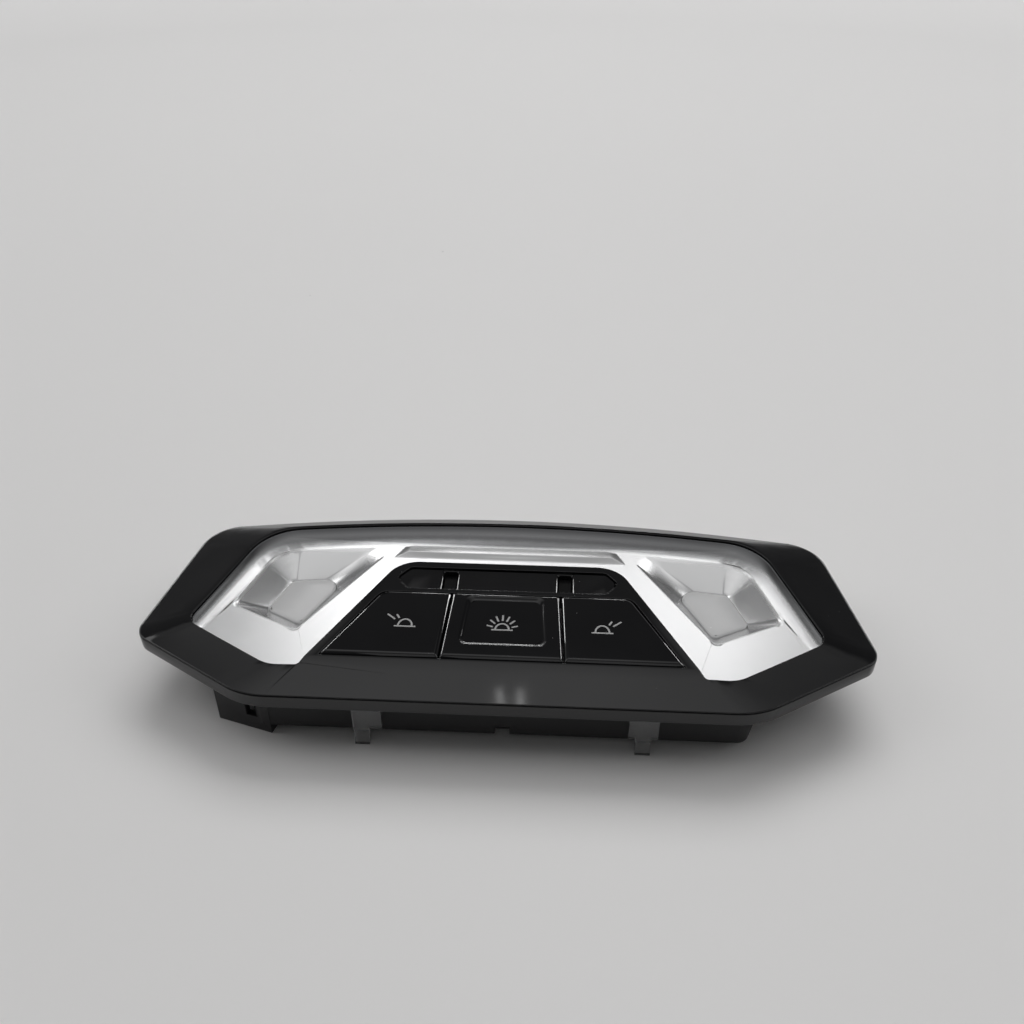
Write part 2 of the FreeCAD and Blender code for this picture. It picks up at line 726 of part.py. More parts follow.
def make_trim():
    """Plate with a sloping border, a ridge behind the panel and two reflector pockets."""
    plate = straight("trim_plate", opening, seat, face, size("trim_flange"))
    rise = face + size("cove_rise")
    lines = [
        (land_corners(zero), face),
        (land_corners(size("cove_bend")), face + size("cove_rise") * size("cove_bend_rise")),
        (land_corners(size("cove_turn")), face + size("cove_rise") * size("cove_turn_rise")),
        (land_corners(1), rise),
    ]
    border = cut("trim_border", straight("trim_border_block", opening, face, rise, -size("trim_fit")), [
        sloping(f"trim_border_{number}", lines[number], lines[number + 1]) for number in range(3)
    ])
    low_front = panel_y + size("ridge_gap")
    low_back = low_front + size("ridge_depth")
    end = panel_half + size("ridge_run")
    ridge_low = mirrored([(end, low_front, None), (panel_half, low_back, None)])
    high_front = low_front + size("ridge_slope")
    high_back = low_back - size("ridge_back_slope")
    top_end = panel_half - size("ridge_slope")
    ridge_high = mirrored([(top_end, high_front, None), (panel_half - size("ridge_run"), high_back, None)])
    ridge = sloping("trim_ridge", (ridge_low, face), (ridge_high, face + size("ridge_rise")))
    cups = []
    hollows = []
    for side, sign in (("left", -1), ("right", 1)):
        edge = pocket_corners(sign, False)
        floor = pocket_corners(sign, True)
        cups.append(sloping(
            f"trim_cup_{side}", (floor, pocket_low, size("pocket_wall")), (edge, face, size("pocket_wall")),
        ))
        hollows.append(sloping(f"trim_hollow_{side}", (floor, lens_floor), (edge, face)))
        hollows.append(straight(f"trim_mouth_{side}", edge, face, rise))
        hollows.append(straight(f"trim_seat_{side}", floor, lens_low, lens_floor))
        hollows.append(straight(f"trim_window_{side}", floor, pocket_low, lens_low, -size("lens_ledge")))
    return cut("trim_whole", fuse("trim_solid", [plate, border, ridge] + cups), hollows)


def make_lens(label, sign):
    """Clear plate on the floor of a pocket, its edge bevelled."""
    floor = pocket_corners(sign, True)
    middle_x = sum((x for x, _, _ in floor), zero) / len(floor)
    middle_y = sum((y for _, y, _ in floor), zero) / len(floor)
    fit = size("lens_fit") / (floor[0][0] - middle_x) * sign
    shrink = 1 - fit
    corners = [
        (middle_x + (x - middle_x) * shrink, middle_y + (y - middle_y) * shrink, radius)
        for x, y, radius in floor
    ]
    body = new_body(label)
    pad(body, label + "_plate", corners, lens_low, lens_high)
    bevel(body, label + "_edge", size("lens_bevel"), at_height(lens_high))
    return body


def slot_place(sign):
    return size("slot_spacing") / 2 * sign


def slot_corners(sign, grow_x, grow_y):
    half_x = size("slot_width") / 2 + grow_x
    half_y = size("slot_length") / 2 + grow_y
    middle = slot_place(sign)
    return rectangle(middle - half_x, bar_y - half_y, middle + half_x, bar_y + half_y)


def make_slot_bar():
    """Insert behind the keys, with tabs under the panel and two bevelled slots."""
    body = new_body("slot_bar")
    top = crown - size("bar_drop")
    flange_low = seat - size("flange_thickness")
    end = half_bar + size("bar_flange")
    back_off = size("flange_setback")
    tabs = rectangle(-end, bar_front + back_off, end, bar_back - back_off)
    pad(body, "slot_bar_tabs", tabs, flange_low, seat)
    pad(body, "slot_bar_top", bar_corners(size("bar_fit")), seat, top)
    for side, sign in (("left", -1), ("right", 1)):
        pocket(body, f"slot_bar_slot_{side}", slot_corners(sign, zero, zero), top, flange_low)
    slot_edges = at_height(top)
    half_run = size("slot_spacing").value / 2 + size("slot_width").value

    def slot_edge(points):
        inside = all(abs(point.x) < half_run for point in points)
        upright = max(point.x for point in points) - min(point.x for point in points)
        return slot_edges(points) and inside and upright < size("slot_spacing").value / 2

    bevel(body, "slot_bar_bevel", size("slot_bevel"), slot_edge)
    return body


def make_slot_guide(label, sign):
    """Light pipe from its chip up into the slot, with a collar under the bar."""
    body = new_body(label)
    pipe_low = board_high + size("small_led_height") + size("pipe_gap")
    pipe_high = crown - size("bar_drop") - size("guide_drop")
    collar_high = seat - size("flange_thickness")
    fit = -size("guide_fit")
    pad(body, label + "_pipe", slot_corners(sign, fit, fit), pipe_low, pipe_high)
    collar = slot_corners(sign, size("guide_collar"), fit)
    pad(body, label + "_collar", collar, collar_high - size("collar_height"), collar_high)
    return body


def key_edges(place, y, gap):
    """Left and right edges of a key at the front or back of the row."""
    half_row = row_front if y is key_front else row_back
    half_centre = (size("centre_front_width") if y is key_front else size("centre_back_width")) / 2
    if place == "left":
        return -half_row + gap, -half_centre - gap / 2
    if place == "right":
        return half_centre + gap / 2, half_row - gap
    return -half_centre + gap / 2, half_centre - gap / 2


def key_corners(place, inset, rounded):
    """Outline of a key's cap, moved in by inset."""
    gap = size("key_gap")
    front_left, front_right = key_edges(place, key_front, gap)
    back_left, back_right = key_edges(place, key_back, gap)
    low = key_front + gap + inset
    high = key_back - gap - inset
    outer = size("key_row_radius") - gap if rounded else None
    return [
        (front_left + inset, low, None),
        (front_right - inset, low, None),
        (back_right - inset, high, outer if place == "right" else None),
        (back_left + inset, high, outer if place == "left" else None),
    ]


def key_middle(place):
    front_left, front_right = key_edges(place, key_front, size("key_gap"))
    back_left, back_right = key_edges(place, key_back, size("key_gap"))
    return (front_left + front_right + back_left + back_right) / 4, (key_front + key_back) / 2


def switch_place(place):
    x, y = key_middle(place)
    return x, y + size("switch_back")


def square(x, y, side):
    return rectangle(x - side / 2, y - side / 2, x + side / 2, y + side / 2)


def make_key(label, place):
    """Hollow key: bevelled cap, narrower skirt and a boss over the switch."""
    body = new_body(label)
    pad(body, label + "_cap", key_corners(place, zero, True), cap_low, key_high)
    bevel(body, label + "_bevel", size("key_bevel"), at_height(key_high))
    skirt = size("key_step")
    pad(body, label + "_skirt", key_corners(place, skirt, False), skirt_low, cap_low)
    hollow = key_corners(place, skirt + size("key_wall"), False)
    sketch = draw_outline(body_sketch(body, label + "_hollow_outline", skirt_low), hollow)
    doc.recompute()
    before = body.Shape.Volume
    hole = body.newObject("PartDesign::Pocket", label + "_hollow")
    hole.Profile = sketch
    hole.Reversed = True
    bind(hole, "Length", key_high - size("key_skin") - skirt_low)
    doc.recompute()
    assert body.Shape.Volume < before, label
    x, y = switch_place(place)
    boss = square(x, y, size("boss_diameter"))
    pad(body, label + "_boss", boss, plunger_high, key_high - size("key_skin"))
    if place == "centre":
        hollow_key_top(body, label)
    return body


def hollow_key_top(body, label):
    """Shallow hollow with sloping sides in the middle key."""
    front_left, front_right = key_edges("centre", key_front, size("key_gap"))
    back_left, back_right = key_edges("centre", key_back, size("key_gap"))
    sections = []
    dish_low = key_high - size("dish_depth")
    for name, height, fall in (("rim", key_high, zero), ("floor", dish_low, size("dish_fall"))):
        side = size("dish_side") + fall
        low = key_front + size("dish_front") + fall
        high = key_back - size("dish_back") - fall
        corners = [
            (front_left + side, low, size("dish_radius")),
            (front_right - side, low, size("dish_radius")),
            (back_right - side, high, size("dish_radius")),
            (back_left + side, high, size("dish_radius")),
        ]
        sections.append(draw_outline(body_sketch(body, f"{label}_dish_{name}", height), corners))
    doc.recompute()
    before = body.Shape.Volume
    dish = body.newObject("PartDesign::SubtractiveLoft", label + "_dish")
    dish.Profile = sections[0]
    dish.Sections = [sections[1]]
    dish.Ruled = True
    doc.recompute()
    assert body.Shape.Volume < before, label


def make_light_box():
    """Frame on the board with a well for each key."""
    body = new_body("light_box")
    wall = size("box_wall")
    outer = [
        (-row_front - wall, key_front - wall, None),
        (row_front + wall, key_front - wall, None),
        (row_back + wall, key_back + wall, None),
        (-row_back - wall, key_back + wall, None),
    ]
    pad(body, "light_box_block", outer, board_high, seat)
    for place in ("left", "centre", "right"):
        well = key_corners(place, size("key_step") - size("key_clearance"), False)
        pocket(body, f"light_box_{place}_well", well, seat, board_high)
    return body


def make_switch(label, place):
    body = new_body(label)
    x, y = switch_place(place)
    pad(body, label + "_block", square(x, y, size("switch_size")), board_high, switch_high)
    sketch = body_sketch(body, label + "_bore_outline", switch_high)
    radius = size("plunger_diameter") / 2 + size("plunger_fit")
    draw_circle(sketch, radius, x, y)
    doc.recompute()
    bore = body.newObject("PartDesign::Pocket", label + "_bore")
    bore.Profile = sketch
    bind(bore, "Length", size("plunger_hold") + size("plunger_room"))
    doc.recompute()
    return body


def make_plunger(label, place):
    x, y = switch_place(place)
    bottom = switch_high - size("plunger_hold")
    return upright_rod(label, x, y, bottom, plunger_high, size("plunger_diameter"))


def chip(name, x, y, length, width, height):
    return block(
        name, x - length / 2, y - width / 2, board_high, x + length / 2, y + width / 2, board_high + height,
    )


def small_chip(name, x, y):
    return chip(name, x, y, size("small_led_length"), size("small_led_width"), size("small_led_height"))


def floor_middle(sign):
    floor = pocket_corners(sign, True)
    return sum((x for x, _, _ in floor), zero) / 4, sum((y for _, y, _ in floor), zero) / 4


wall_inner = size("housing_inset") + size("housing_wall")


def make_board():
    """Board on the housing's ledge, with holes for the screw posts."""
    inside = size("housing_wall") + size("board_fit")
    plate = straight("board_plate", tub_outline, board_low, board_high, -inside)
    hole = size("post_diameter") + size("post_fit") * 2
    holes = [
        upright_rod(f"board_hole_{side}", post_x * sign, post_y, board_low, board_high, hole)
        for side, sign in (("left", -1), ("right", 1))
    ]
    return cut("board_drilled", plate, holes)


wall_back = half_depth - size("housing_inset")
socket_inner = wall_back - size("socket_depth")
socket_y = wall_back - size("socket_length")


def make_socket():
    """Connector body on the board, open to the back."""
    half = size("socket_width") / 2
    wall = size("socket_wall")
    top = board_high + size("socket_height")
    shell = block("socket_shell", -half, socket_y, board_high, half, wall_back, top)
    mouth = block(
        "socket_mouth", -half + wall, socket_inner, board_high + wall, half - wall, wall_back, top - wall,
    )
    slits = [block(f"socket_slit_{i}", *pin_box(i, socket_y, socket_inner)) for i in range(pin_total)]
    return cut("socket_hollow", shell, [mouth] + slits)


pin_total = int(size("pin_count").value)
pin_z = board_high + size("socket_height") / 2


def pin_box(number, y_low, y_high):
    """Room of one pin between two places front to back."""
    half = size("pin_size") / 2
    x = (as_measure(number) - (size("pin_count") - 1) / 2) * size("pin_pitch")
    return x - half, y_low, pin_z - half, x + half, y_high, pin_z + half


def make_pins():
    """Bent pins from the board through the connector's back wall into its mouth."""
    pins = []
    for number in range(pin_total):
        tail = socket_y - size("pin_tail")
        bar = pin_box(number, tail, socket_inner + size("pin_reach"))
        leg = list(bar)
        leg[2] = board_high
        leg[4] = tail + size("pin_size")
        leg[5] = pin_z + size("pin_size") / 2
        pieces = [block(f"pin_bar_{number}", *bar), block(f"pin_leg_{number}", *leg)]
        pins.append(fuse(f"pin_{number}", pieces))
    return group("pins_together", pins)


def make_clear_frame():
    """Clear ring between bezel and housing, with two legs behind the front rim."""
    outside = size("rim_wall") + size("frame_fit")
    ring = cut("frame_ring", straight("frame_plate", rim_outline, frame_low, seat, -outside), [
        straight("frame_hole", rim_outline, frame_low, seat, -(outside + size("frame_width"))),
    ])
    leg_front = front + outside
    leg_back = leg_front + size("leg_thickness")
    legs = []
    for side, sign in (("left", -1), ("right", 1)):
        middle = size(f"{side}_leg") * sign
        half = size("leg_width") / 2
        prong = middle + size(f"{side}_prong") * sign
        reach = size("prong_width") / 2
        legs.append(block(
            f"frame_leg_{side}", middle - half, leg_front, rim_low - size("leg_drop"),
            middle + half, leg_back, seat,
        ))
        legs.append(block(
            f"frame_prong_{side}", prong - reach, leg_front, zero, prong + reach, leg_back, seat,
        ))
    return fuse("frame_whole", [ring] + legs)


def make_housing():
    """Tub behind the bezel with board ledge, connector gap, bracket, lugs and front tongues."""
    tub = straight("housing_block", tub_outline, housing_low, frame_low)
    wall = size("housing_wall")
    extras = [make_bracket()]
    for side, sign in (("left", -1), ("right", 1)):
        middle = size("tongue_centre") * sign
        half = size("tongue_width") / 2
        wall_front = front + size("housing_inset")
        extras.append(block(
            f"housing_tongue_{side}", middle - half, wall_front - size("tongue_reach"),
            frame_low - size("tongue_thickness"), middle + half, wall_front + size("housing_wall"), frame_low,
        ))
        middle = size("lug_centre") * sign
        half = size("lug_width") / 2
        lug_back = half_depth - size("lug_inset")
        lug_front = lug_back - size("lug_thickness")
        extras.append(block(
            f"housing_lug_{side}", middle - half, lug_front, zero, middle + half, lug_back, size("lug_top"),
        ))
        extras.append(block(
            f"housing_hook_{side}", middle - half, lug_front, zero,
            middle + half, lug_back + size("lug_hook"), size("hook_height"),
        ))
    fit = size("socket_fit")
    half_socket = size("socket_width") / 2 + fit
    notch_left = size("notch_offset") - size("notch_width") / 2
    hollows = [
        straight("housing_hollow", tub_outline, board_low, frame_low, -wall),
        straight("housing_floor", tub_outline, housing_floor, board_low, -(wall + size("board_ledge"))),
        block(
            "housing_gap", -half_socket, wall_back - size("housing_wall") * 2, board_high - fit,
            half_socket, half_depth, board_high + size("socket_height") + fit,
        ),
        block(
            "housing_notch", notch_left, front, housing_low, notch_left + size("notch_width"),
            front + wall_inner, housing_low + size("notch_height"),
        ),
    ]
    for side, sign in (("left", -1), ("right", 1)):
        x = post_x * sign
        hole = size("screw_diameter") + size("screw_fit")
        hollows.append(upright_rod(f"housing_bore_{side}", x, post_y, housing_low, housing_floor, hole))
        room = size("post_diameter") + size("post_fit") * 2
        hollows.append(upright_rod(f"housing_room_{side}", x, post_y, housing_floor, board_low, room))
    return cut("housing_whole", fuse("housing_solid", [tub] + extras), hollows)


def make_bracket():
    """Upright plate at the left front corner, with a window and a rib to the wall."""
    inner = (-(half_front - size("bracket_inner_x")), front + size("bracket_inner_y"))
    outer = (-(half_front + size("bracket_outer_x")), front + size("bracket_outer_y"))
    run_x = inner[0] - outer[0]
    run_y = inner[1] - outer[1]
    length = root(run_x * run_x + run_y * run_y)
    along = (run_x / length, run_y / length)
    across = (-along[1], along[0])

    def spot(start, forward, inward):
        x = start[0] + along[0] * forward + across[0] * inward
        y = start[1] + along[1] * forward + across[1] * inward
        return x, y, None

    thick = size("bracket_thickness")
    plate = [
        spot(outer, zero, zero),
        spot(inner, zero, zero),
        spot(inner, zero, size("bracket_rib")),
        spot(inner, -thick, size("bracket_rib")),
        spot(inner, -thick, thick),
        spot(outer, thick, thick),
        spot(outer, thick, size("bracket_rib")),
        spot(outer, zero, size("bracket_rib")),
    ]
    middle = length / 2 + size("window_shift")
    half = size("window_width") / 2
    window = [
        spot(outer, middle - half, -thick),
        spot(outer, middle + half, -thick),
        spot(outer, middle + half, thick * 2),
        spot(outer, middle - half, thick * 2),
    ]
    sill = size("window_sill")
    return cut("bracket", straight("bracket_plate", plate, zero, size("bracket_top")), [
        straight("bracket_window", window, sill, sill + size("window_height")),
    ])


def button_led_place(place):
    x, y = switch_place(place)
    return x, y - size("button_led_front")


def make_screw(name, sign):
    """Screw with a round head under the housing floor."""
    x = post_x * sign
    head_low = housing_low - size("head_height")
    head = upright_rod(name + "_head", x, post_y, head_low, housing_low, size("screw_head"))
    tip = housing_low + size("screw_length")
    shank = upright_rod(name + "_shank", x, post_y, housing_low, tip, size("screw_diameter"))
    return fuse(name, [head, shank])


sides = (("left", -1), ("right", 1))
places = ("left", "centre", "right")
nodes = {
    "bezel": make_bezel(),
    "silver_trim": make_trim(),
    "slot_bar": make_slot_bar(),
    "light_box": make_light_box(),
    "circuit_board": make_board(),
    "connector_socket": make_socket(),
    "connector_pins": make_pins(),
    "clear_frame": make_clear_frame(),
    "rear_housing": make_housing(),
    "housing_screws": group("screws_together", [make_screw(f"screw_{side}", sign) for side, sign in sides]),
    "button_leds": group("button_leds_together", [
        small_chip(f"button_led_{place}", *button_led_place(place)) for place in places
    ]),
    "slot_leds": group("slot_leds_together", [
        small_chip(f"slot_led_{side}", slot_place(sign), bar_y) for side, sign in sides
    ]),
    "driver_chip": chip(
        "driver_block", size("chip_x"), wall_back - size("chip_y"),
        size("chip_size"), size("chip_size"), size("chip_height"),
    ),
}
for side, sign in sides:
    nodes[f"{side}_lens"] = make_lens(f"{side}_lens", sign)
    nodes[f"{side}_slot_guide"] = make_slot_guide(f"{side}_slot_guide", sign)
    led = size("reading_led_size")
    nodes[f"{side}_reading_led"] = chip(
        f"{side}_led_block", *floor_middle(sign), led, led, size("reading_led_height"),
    )
for place in places:
    nodes[f"{place}_button"] = make_key(f"{place}_button", place)
    nodes[f"{place}_switch"] = make_switch(f"{place}_switch", place)
    nodes[f"{place}_plunger"] = make_plunger(f"{place}_plunger", place)
doc.recompute()

# Nothing is written unless every object is sound

for name, piece in nodes.items():
    piece.Label = name
for thing in doc.Objects:
    if "Invalid" in thing.State or "Error" in thing.State:
        raise RuntimeError(f"{thing.Name} failed: {thing.State}")
for name, piece in nodes.items():
    if piece.Shape.isNull() or not piece.Shape.isValid():
        raise RuntimeError(f"{name} has no sound shape")
os.makedirs("parts", exist_ok=True)
for name, piece in nodes.items():
    piece.Shape.exportStep(f"parts/{name}.step")
    print(name, len(piece.Shape.Solids), round(piece.Shape.Volume, 1))
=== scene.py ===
import json
import math

import bmesh
import bpy
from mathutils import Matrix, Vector
from mathutils.bvhtree import BVHTree

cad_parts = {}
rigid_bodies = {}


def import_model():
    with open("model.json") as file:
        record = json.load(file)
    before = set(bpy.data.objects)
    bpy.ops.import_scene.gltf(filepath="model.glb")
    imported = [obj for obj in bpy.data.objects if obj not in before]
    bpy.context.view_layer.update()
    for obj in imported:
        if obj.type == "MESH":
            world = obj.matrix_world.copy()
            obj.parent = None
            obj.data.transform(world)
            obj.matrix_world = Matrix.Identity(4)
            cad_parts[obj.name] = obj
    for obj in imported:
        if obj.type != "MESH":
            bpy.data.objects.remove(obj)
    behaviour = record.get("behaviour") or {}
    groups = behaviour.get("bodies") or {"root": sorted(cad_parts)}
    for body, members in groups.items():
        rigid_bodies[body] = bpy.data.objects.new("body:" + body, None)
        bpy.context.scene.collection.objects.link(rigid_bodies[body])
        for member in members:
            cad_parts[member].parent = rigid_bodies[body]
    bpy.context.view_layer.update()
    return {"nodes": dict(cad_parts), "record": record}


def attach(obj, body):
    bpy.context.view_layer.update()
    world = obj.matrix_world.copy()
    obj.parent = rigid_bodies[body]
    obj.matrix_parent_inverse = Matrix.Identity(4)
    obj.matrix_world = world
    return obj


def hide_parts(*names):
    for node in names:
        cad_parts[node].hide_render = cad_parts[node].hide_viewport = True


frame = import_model()
nodes = frame["nodes"]
scene = bpy.context.scene
scene.view_settings.view_transform = "Standard"
mm = 0.001
print("frame loaded", len(nodes), "nodes")


# camera, where the photograph was taken from

cameraSettings = {
    "stand": (10.6, -179.25, 177.7),  # mm
    "aim": (-0.45, 35.14, 16.5),
    "lens": 36.56,
    "sensor": 36,
    "nearest": 10,
}


def setUp(thing, at, aim):
    # put a camera or lamp there and turn it to what it faces
    thing.location = at
    thing.rotation_euler = (aim - at).to_track_quat("-Z", "Y").to_euler()
    scene.collection.objects.link(thing)


def placeCamera(settings):
    data = bpy.data.cameras.new("viewer")
    data.lens = settings["lens"]
    data.sensor_width = settings["sensor"]
    data.clip_start = settings["nearest"] * mm
    viewer = bpy.data.objects.new("viewer", data)
    setUp(viewer, Vector(settings["stand"]) * mm, Vector(settings["aim"]) * mm)
    scene.camera = viewer


placeCamera(cameraSettings)
print("camera placed")


# sockets that can be added and multiplied, and any other node

class Wire:
    def __init__(self, tree, socket=None):
        self.tree = tree
        self.socket = socket

    def node(self, kind, settings=None, links=None, out=0):
        made = self.tree.nodes.new(kind)
        for name, value in (settings or {}).items():  # settings first, a ramp's stops among them
            if name == "stops":
                ramp = made.color_ramp
                while len(ramp.elements) < len(value):
                    ramp.elements.new(1)
                for element, (place, level) in zip(ramp.elements, value):
                    element.position = place
                    element.color = (level, level, level, 1)
            else:
                setattr(made, name, value)
        for name, value in (links or {}).items():
            target = made.inputs[name]
            if isinstance(value, Wire):
                self.tree.links.new(value.socket, target)
            else:
                target.default_value = value
        return Wire(self.tree, made.outputs[out])

    def beside(self, name):
        # another output of the same node
        return Wire(self.tree, self.socket.node.outputs[name])

    def maths(self, operation, first, second=0.0):
        return self.node("ShaderNodeMath", {"operation": operation}, {0: first, 1: second})

    def ramp(self, wire, stops):
        return self.node("ShaderNodeValToRGB", {"stops": stops}, {"Fac": wire})

    def __add__(self, other):
        return self.maths("ADD", self, other)

    def __radd__(self, other):
        return self.maths("ADD", other, self)

    def __sub__(self, other):
        return self.maths("SUBTRACT", self, other)

    def __rsub__(self, other):
        return self.maths("SUBTRACT", other, self)

    def __mul__(self, other):
        return self.maths("MULTIPLY", self, other)

    def __rmul__(self, other):
        return self.maths("MULTIPLY", other, self)

    def __truediv__(self, other):
        return self.maths("DIVIDE", self, other)

    def __gt__(self, other):
        return self.maths("GREATER_THAN", self, other)

    def __lt__(self, other):
        return self.maths("LESS_THAN", self, other)


class Finish(Wire):
    # a material: its tree, its place on the piece, and the shader at its end
    def __init__(self, name):
        self.material = bpy.data.materials.new(name)
        self.material.use_nodes = True
        super().__init__(self.material.node_tree)
        self.shader = self.tree.nodes["Principled BSDF"]
        self.place = self.node("ShaderNodeTexCoord", out=3)

    def fixed(self, values):
        for name, value in values.items():
            self.shader.inputs[name].default_value = value

    def feed(self, name, wire):
        self.tree.links.new(wire.socket, self.shader.inputs[name])

    def noise(self, size, detail=2.0, rough=0.5, place=None):
        links = {"Vector": place or self.place, "Scale": 1 / (size * mm),
                 "Detail": detail, "Roughness": rough}
        return self.node("ShaderNodeTexNoise", None, links)

    def grain(self, size, place=None):
        return self.noise(size, detail=3, rough=0.6, place=place)

    def cells(self, size, feature="F1"):
        links = {"Vector": self.place, "Scale": 1 / (size * mm)}
        return self.node("ShaderNodeTexVoronoi", {"feature": feature}, links)

    def stretched(self, scale):
        return self.node("ShaderNodeMapping", None, {"Vector": self.place, "Scale": scale})

    def mix(self, share, first, second):
        first, second = (tone if isinstance(tone, Wire) else (*tone, 1) for tone in (first, second))
        links = {0: share, 6: first, 7: second}  # the colour sockets of the node
        return self.node("ShaderNodeMix", {"data_type": "RGBA"}, links, out=2)

    def axis(self, number):
        return self.node("ShaderNodeSeparateXYZ", None, {"Vector": self.place}, out=number)

    def bump(self, height, strength, depth, under=None):
        links = {"Height": height, "Strength": strength, "Distance": depth * mm}
        if under:
            links["Normal"] = under
        return self.node("ShaderNodeBump", None, links)

    def soft(self, radius):
        return self.node("ShaderNodeBevel", {"samples": 6}, {"Radius": radius * mm})


# finishes: sizes and depths in mm; Rough adds to the roughness, Smooth takes from it

glossMarks = {
    "cloud": 18,
    "cloudStops": [(0.3, 0), (0.7, 1)],
    "fine": 1.6,
    "unevenRough": 0.02,
    "speck": 0.035,  # share of the dust gap
    "patch": 5,
    "patchFrom": 0.56,
    "dust": (0.16, 0.16, 0.16),
    "dustRough": 0.4,
    "wave": 3.2,
    "waveStrength": 0.05,
    "waveDepth": 0.01,
    "ior": 1.52,
}


def glossPlastic(name, settings, marks=glossMarks):
    # polished moulding: nearly flat colour, a trace of waviness, patches of dust
    made = Finish(name)
    cloud = made.noise(marks["cloud"], 3)
    fine = made.noise(marks["fine"])
    patch = made.noise(marks["patch"], 1) > marks["patchFrom"]
    dust = (made.cells(settings["dustGap"]) < marks["speck"]) * patch
    tone = made.mix(made.ramp(cloud, marks["cloudStops"]), settings["dark"], settings["pale"])
    made.feed("Base Color", made.mix(dust, tone, marks["dust"]))
    uneven = marks["unevenRough"]
    rough = settings["roughness"] + fine * uneven + cloud * uneven + dust * marks["dustRough"]
    made.feed("Roughness", rough)
    made.fixed({"IOR": marks["ior"]})
    edge = made.soft(settings["edge"])
    wave = made.noise(marks["wave"], 1)
    made.feed("Normal", made.bump(wave, marks["waveStrength"], marks["waveDepth"], edge))
    return made.material


def satinSilverFinish(name, settings):
    # metallised moulding: satin grain, streaked pocket walls, and painted shade where it climbs to
    # the bezel, standing in for the dark bezel wall's reflection and shadow
    made = Finish(name)
    depth = made.axis(1)
    height = made.axis(2)
    face = settings["face"] * mm
    ridgeBack = settings["ridgeBack"] * mm
    wall = made.ramp((face - height) * settings["wallSharp"], settings["wallStops"])
    climb = (height - face) * (1 / (settings["climb"] * mm))
    across = made.node("ShaderNodeMath", {"operation": "ABSOLUTE"}, {0: made.axis(0)})
    before = depth < ridgeBack + settings["ridgeSlack"] * mm
    ridge = (across < settings["ridgeEnd"] * mm) * before
    back = made.ramp(depth * settings["backSharp"], settings["backStops"])  # the sides stay paler
    shelfStops = [(0.0, 0), (1.0, settings["shelfSmoke"])]
    shelf = made.ramp((depth - ridgeBack) * settings["shelfSharp"], shelfStops)
    sides = made.ramp(climb, settings["sideStops"]) * (1.0 - back)
    # painted shade: a darker colour near the bezel wall, along the back and on the shelf behind the
    # ridge, none on the ridge or the pocket walls
    smoke = made.maths("MAXIMUM", made.ramp(climb, settings["smokeStops"]) * back + sides, shelf)
    smoke = smoke * (1.0 - ridge) * (1.0 - wall)
    grain = made.grain(settings["grainSize"])
    streak = made.grain(settings["streakSize"], made.stretched(settings["streakStretch"]))
    cloud = made.noise(settings["cloud"])
    plate = made.mix(cloud, settings["dark"], settings["pale"])
    # the painted shade colour is mixed into the silver plate here
    made.feed("Base Color", made.mix(smoke, plate, settings["smoke"]))
    rough = settings["roughness"] + cloud * settings["cloudRough"] + grain * settings["grainRough"]
    rough = rough - wall * settings["wallSmooth"] - smoke * settings["smokeSmooth"]
    made.feed("Roughness", rough)
    made.fixed({"Metallic": 1.0})
    edge = made.soft(settings["edge"])
    skin = made.bump(grain, settings["grain"], settings["grainDepth"], edge)
    made.feed("Normal", made.bump(streak * wall, settings["streak"], settings["streakDepth"], skin))
    return made.material


clearMarks = {
    "haze": 4,
    "hazeRough": 0.06,
    "fine": 0.5,
    "fineRough": 0.04,
    "fineStrength": 0.12,
    "fineDepth": 0.01,
    "ior": 1.49,
}


def clearPlastic(name, settings, marks=clearMarks):
    # clear moulding with a faint haze and an uneven skin
    made = Finish(name)
    haze = made.noise(marks["haze"], 3)
    fine = made.noise(marks["fine"])
    made.feed("Base Color", made.mix(haze, settings["dark"], settings["pale"]))
    rough = settings["roughness"] + haze * marks["hazeRough"] + fine * marks["fineRough"]
    made.feed("Roughness", rough)
    made.fixed({"IOR": marks["ior"], "Transmission Weight": settings["through"]})
    edge = made.soft(settings["edge"])
    made.feed("Normal", made.bump(fine, marks["fineStrength"], marks["fineDepth"], edge))
    return made.material


grainMarks = {
    "cloud": 12,
    "cloudShare": 0.6,
    "grainShare": 0.4,
    "grainRough": 0.14,
    "grainDepth": 0.03,
    "ior": 1.48,
}


def grainedPlastic(name, settings, marks=grainMarks):
    # matt moulding with a spark-eroded grain
    made = Finish(name)
    grain = made.grain(settings["grain"])
    cloud = made.noise(marks["cloud"], 3)
    share = cloud * marks["cloudShare"] + grain * marks["grainShare"]
    made.feed("Base Color", made.mix(share, settings["dark"], settings["pale"]))
    made.feed("Roughness", settings["roughness"] + grain * marks["grainRough"])
    made.fixed({"IOR": marks["ior"]})
    edge = made.soft(settings["edge"])
    made.feed("Normal", made.bump(grain, settings["depth"], marks["grainDepth"], edge))
    return made.material


def boardFinish(name, settings):
    # solder mask over copper tracks, with a few bright pads
    made = Finish(name)
    track = made.cells(settings["trackGap"], "DISTANCE_TO_EDGE") < settings["trackWide"]
    pad = made.cells(settings["padGap"]) < settings["padWide"]
    grain = made.noise(settings["grain"])
    mask = made.mix(track, settings["mask"], settings["track"])
    made.feed("Base Color", made.mix(pad, mask, settings["pad"]))
    made.feed("Metallic", pad * settings["padMetal"])
    rough = settings["roughness"] + grain * settings["grainRough"] - pad * settings["padSmooth"]
    made.feed("Roughness", rough)
    made.feed("Normal", made.bump(track + pad, settings["relief"], settings["reliefDepth"]))
    return made.material


metalMarks = {
    "line": 0.3,
    "lineRough": 0.14,
    "lineStrength": 0.15,
    "lineDepth": 0.01,
    "stain": 1.8,
    "stainRough": 0.1,
}


